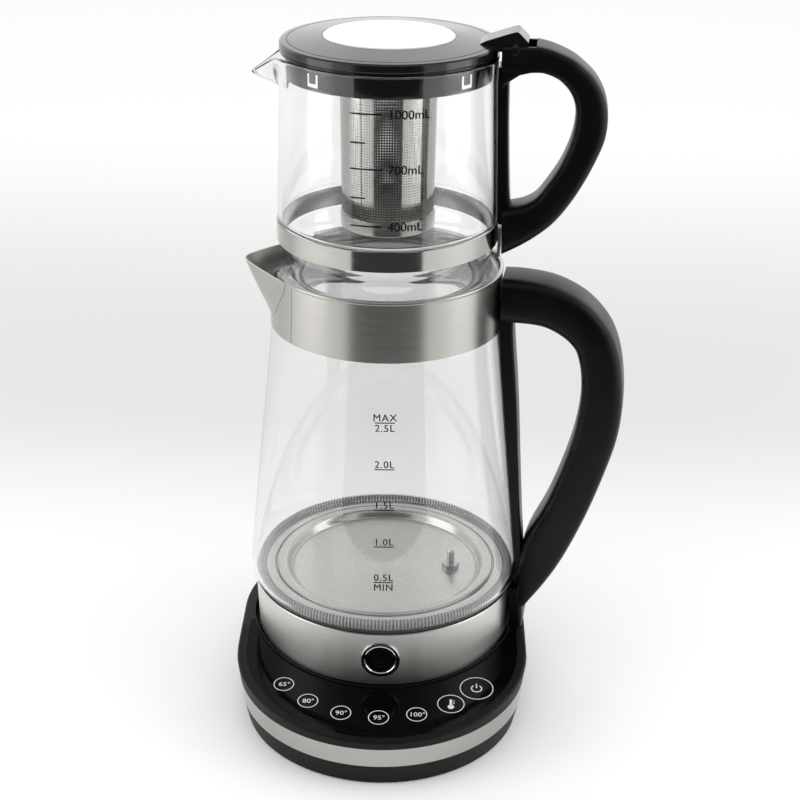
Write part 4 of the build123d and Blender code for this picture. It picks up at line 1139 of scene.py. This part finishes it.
potGrip = {
    "turn": -5.0,
    "half": 12.5,
    "round": 4.4,
    "squareStart": 9.0,
    "outer": [(81.5, 409.2), (90.5, 407.2), (101.8, 402.5), (109.4, 396.8), (115.0, 391.0), (119.9, 382.2),
              (122.4, 371.0), (121.8, 358.6), (118.2, 347.5), (111.8, 333.2), (104.0, 319.5), (94.8, 307.4),
              (84.0, 298.3), (74.6, 292.2), (66.7, 287.9)],
    "inner": [(81.0, 394.6), (86.4, 393.9), (92.2, 391.6), (97.0, 388.0), (101.0, 383.2), (103.6, 377.0),
              (104.3, 370.0), (103.4, 361.0), (101.0, 352.0), (96.6, 341.4), (90.4, 331.0), (84.6, 323.0),
              (78.4, 319.0), (72.6, 317.4), (66.2, 316.0)],
    "spineHalf": 7.5,
    "spineOuter": [(67.0, 396.0), (67.3, 384.0), (67.7, 367.0), (68.4, 350.0), (69.4, 330.0), (70.4, 316.0),
                   (70.8, 306.0)],
    "wall": [(64.6, 286.0), (64.6, 307.0), (63.9, 308.0), (63.9, 311.0), (62.9, 344.0), (61.8, 376.0), (61.5, 388.0),
             (61.9, 401.0)],
    "hingeHalf": 12.5,
    "slotHalf": 9.5,
    "hingeSpan": (62.9, 82.2),
    "hingeSoft": 1.2,
    "hingeLow": 395.4,
    "floorOuter": [(64.0, 397.3), (67.0, 397.4), (74.0, 397.4), (79.0, 397.4), (83.0, 400.0), (87.0, 403.0)],
    "floorInner": [(64.0, 386.0), (67.0, 388.6), (73.0, 392.9), (79.0, 394.5), (83.0, 394.6), (87.0, 394.4)],
    "pinX": 70.0,
    "pinZ": 406.2,
    "pinR": 2.5,
    "pinProud": 0.6,
    "hingeTop": 408.4,
}


def sectionRing(outerPoint, innerPoint, half, power, wall, hug, count=32):
    # superellipse between two points, held outside the wall; one that hugs has its whole back on it
    ring = []
    for k in range(count):
        turn = 2 * math.pi * k / count
        u = math.copysign(abs(math.cos(turn)) ** (2 / power), math.cos(turn))
        y = half * math.copysign(abs(math.sin(turn)) ** (2 / power), math.sin(turn))
        x, z = ((o + i) / 2 + u * (o - i) / 2 for o, i in zip(outerPoint, innerPoint))
        least = math.sqrt(radiusAt(wall, z) ** 2 - y ** 2)
        ring.append((least if x < least or (hug and u < -0.2) else x, y, z))
    return ring


def turnedRings(rings, turn):
    c, s = polar(1.0, math.radians(turn))
    return [[(x * c - y * s, x * s + y * c, z) for x, y, z in ring] for ring in rings]


def addTurned(bm, rings, turn):
    addRings(bm, turnedRings(rings, turn), False, True)


def gripRings(g):
    rings = []
    for step, (o, i) in enumerate(zip(smoothLine(g["outer"], 4), smoothLine(g["inner"], 4))):
        power = g["round"] + (g["squareStart"] - g["round"]) * max(0.0, 1.0 - step / 10)
        rings.append(sectionRing(o, i, g["half"], power, g["wall"], False))
    return rings


def hugRings(g, line, half):
    return [sectionRing((r, z), (radiusAt(g["wall"], z), z), half, 6.0, g["wall"], True) for r, z in line]


def sweptGrip(g):
    bm = bmesh.new()
    for rings in (gripRings(g), hugRings(g, smoothLine(g["spineOuter"], 4), g["spineHalf"])):
        addTurned(bm, rings, g["turn"])
    return bm


def finishGrip(name, bm, body, *replaced):
    finishPiece(closedMesh(name, bm, gripBlack, 40.0), body, "satin_black_plastic", *replaced)


def makeKettleGrip():
    g = kettleGrip
    bm = sweptGrip(g)
    addTurned(bm, hugRings(g, g["shoeOuter"], g["shoeHalf"]), g["turn"])
    finishGrip("kettleGrip", bm, "kettle", "kettle_handle", "kettle_handle_cover")


def addHinge(bm, g):
    # two cheeks beside the lever's slot, a floor under it and the pin's round ends
    floor = [sectionRing(o, i, g["hingeHalf"], 9.0, g["wall"], False) for o, i in zip(g["floorOuter"], g["floorInner"])]
    addTurned(bm, floor, g["turn"])
    low, top, half, slot, soft = (g[k] for k in ("hingeLow", "hingeTop", "hingeHalf", "slotHalf", "hingeSoft"))
    start, end = g["hingeSpan"]
    pin, proud = g["pinR"], half + g["pinProud"]
    shape = [(slot, low), (half - soft, low), (half, low + soft), (half, top - soft), (half - soft, top), (slot, top)]
    rows = [(start, 2.4), (start + 0.7, 0.9), (start + 2.4, 0.0), (end, 0.0)]
    for side in (1, -1):
        cheek = [[(x, side * y, min(max(z, low + cut), top - cut)) for y, z in shape] for x, cut in rows]
        boss = [[(g["pinX"] + x, side * y, g["pinZ"] + z) for x, z, _ in circle(r, 0.0, 24)]
                for y, r in ((half - 1.0, pin), (proud - 0.3, pin), (proud, pin - 0.4))]
        addTurned(bm, cheek, g["turn"])
        addTurned(bm, boss, g["turn"])


def makePotGrip():
    bm = sweptGrip(potGrip)
    addHinge(bm, potGrip)
    finishGrip("teapotGrip", bm, "teapot", "teapot_handle", "teapot_handle_cover", "teapot_band_screw")


# infuser ring with four U-shaped clip windows, and the lid's liner above it
clipRing = {
    "profile": [(56.8, 389.2), (57.0, 388.9), (57.4, 388.9), (57.6, 389.2), (57.6, 401.6), (60.4, 401.6),
                (60.4, 403.0), (53.4, 403.0), (53.4, 400.2), (50.5, 399.6), (50.5, 398.2), (56.8, 398.2)],
    "width": 8.4,
    "low": 390.7,
    "high": 398.1,
    "leg": 2.2,
    "depth": (54.0, 60.0),
    "turns": (47.2, 137.2, 227.2, 317.2),
    "liner": [(0.0, 400.7), (50.0, 400.7), (51.4, 402.0), (51.4, 405.4), (49.8, 405.4), (49.8, 402.6), (0.0, 402.6)],
}


def clipCutter():
    c = clipRing
    half, leg = c["width"] / 2, c["leg"]
    low, high = c["low"], c["high"]
    shape = [(-half, low), (half, low), (half, high), (half - leg, high), (half - leg, low + leg),
             (-half + leg, low + leg), (-half + leg, high), (-half, high)]
    bm = bmesh.new()
    for turn in c["turns"]:
        addTurned(bm, [[(x, y, z) for y, z in shape] for x in c["depth"]], turn)
    return closedMesh("clipCutter", bm, glossBlack)


def makeClipRing():
    ring = lathe("clipRing", clipRing["profile"], ringGloss)
    cutter = clipCutter()
    cut = ring.modifiers.new("windows", "BOOLEAN")
    cut.operation = "DIFFERENCE"
    cut.solver = "EXACT"
    cut.object = cutter
    done = bakedMesh(ring)
    ring.modifiers.remove(cut)
    ring.data = done
    bpy.data.objects.remove(cutter)
    done.materials.clear()
    done.materials.append(ringGloss)
    done.set_sharp_from_angle(angle=math.radians(35.0))
    finishPiece(ring, "teapot", "satin_black_plastic", "infuser_ring")
    liner = lathe("lidLiner", clipRing["liner"], satinBlack)
    finishPiece(liner, "lid", "satin_black_plastic", "lid_inner")


makeCamera()
makeWorld()
makeFlag()
makeLamps()
print("studio set")
dressNodes()
makeKettleGlass()
makeTeapotGlass()
makeKettleMarks()
makePotMarks()
makePanelPrint()
makeInfuser()
makePlate()
makeWindow()
makeSeams()
makeGasket()
makeCollar()
makeSpoutCreaseShade()
makeKettleGrip()
makePotGrip()
makeClipRing()
print("pieces made")


# pale floor with a band of painted shade across its middle
def makeFloor():
    bm = bmesh.new()
    half = 6.0
    bm.faces.new([bm.verts.new((x, y, 0.0)) for x, y in ((-half, -half), (half, -half), (half, half), (-half, half))])
    material, tree, shader = newMaterial("paleSweep")
    along = splitAxes(tree, objectPlace(tree))[1]
    nearer = ramp(tree, along, (0.05, 0.4), kind="SMOOTHSTEP")
    further = ramp(tree, along, (0.45, 1.3), 1.0, 0.0, "SMOOTHSTEP")
    # the grey band is painted shade laid across the floor
    paint(tree, shader, mathNode(tree, "MULTIPLY", nearer, further), ("#fbfbfa", "#dcdcdb"))
    setShader(shader, {"Roughness": 0.9, "Specular IOR Level": 0.1})
    meshObject("paleSweep", bm, material)


makeFloor()
bpy.context.scene.view_settings.view_transform = "Standard"
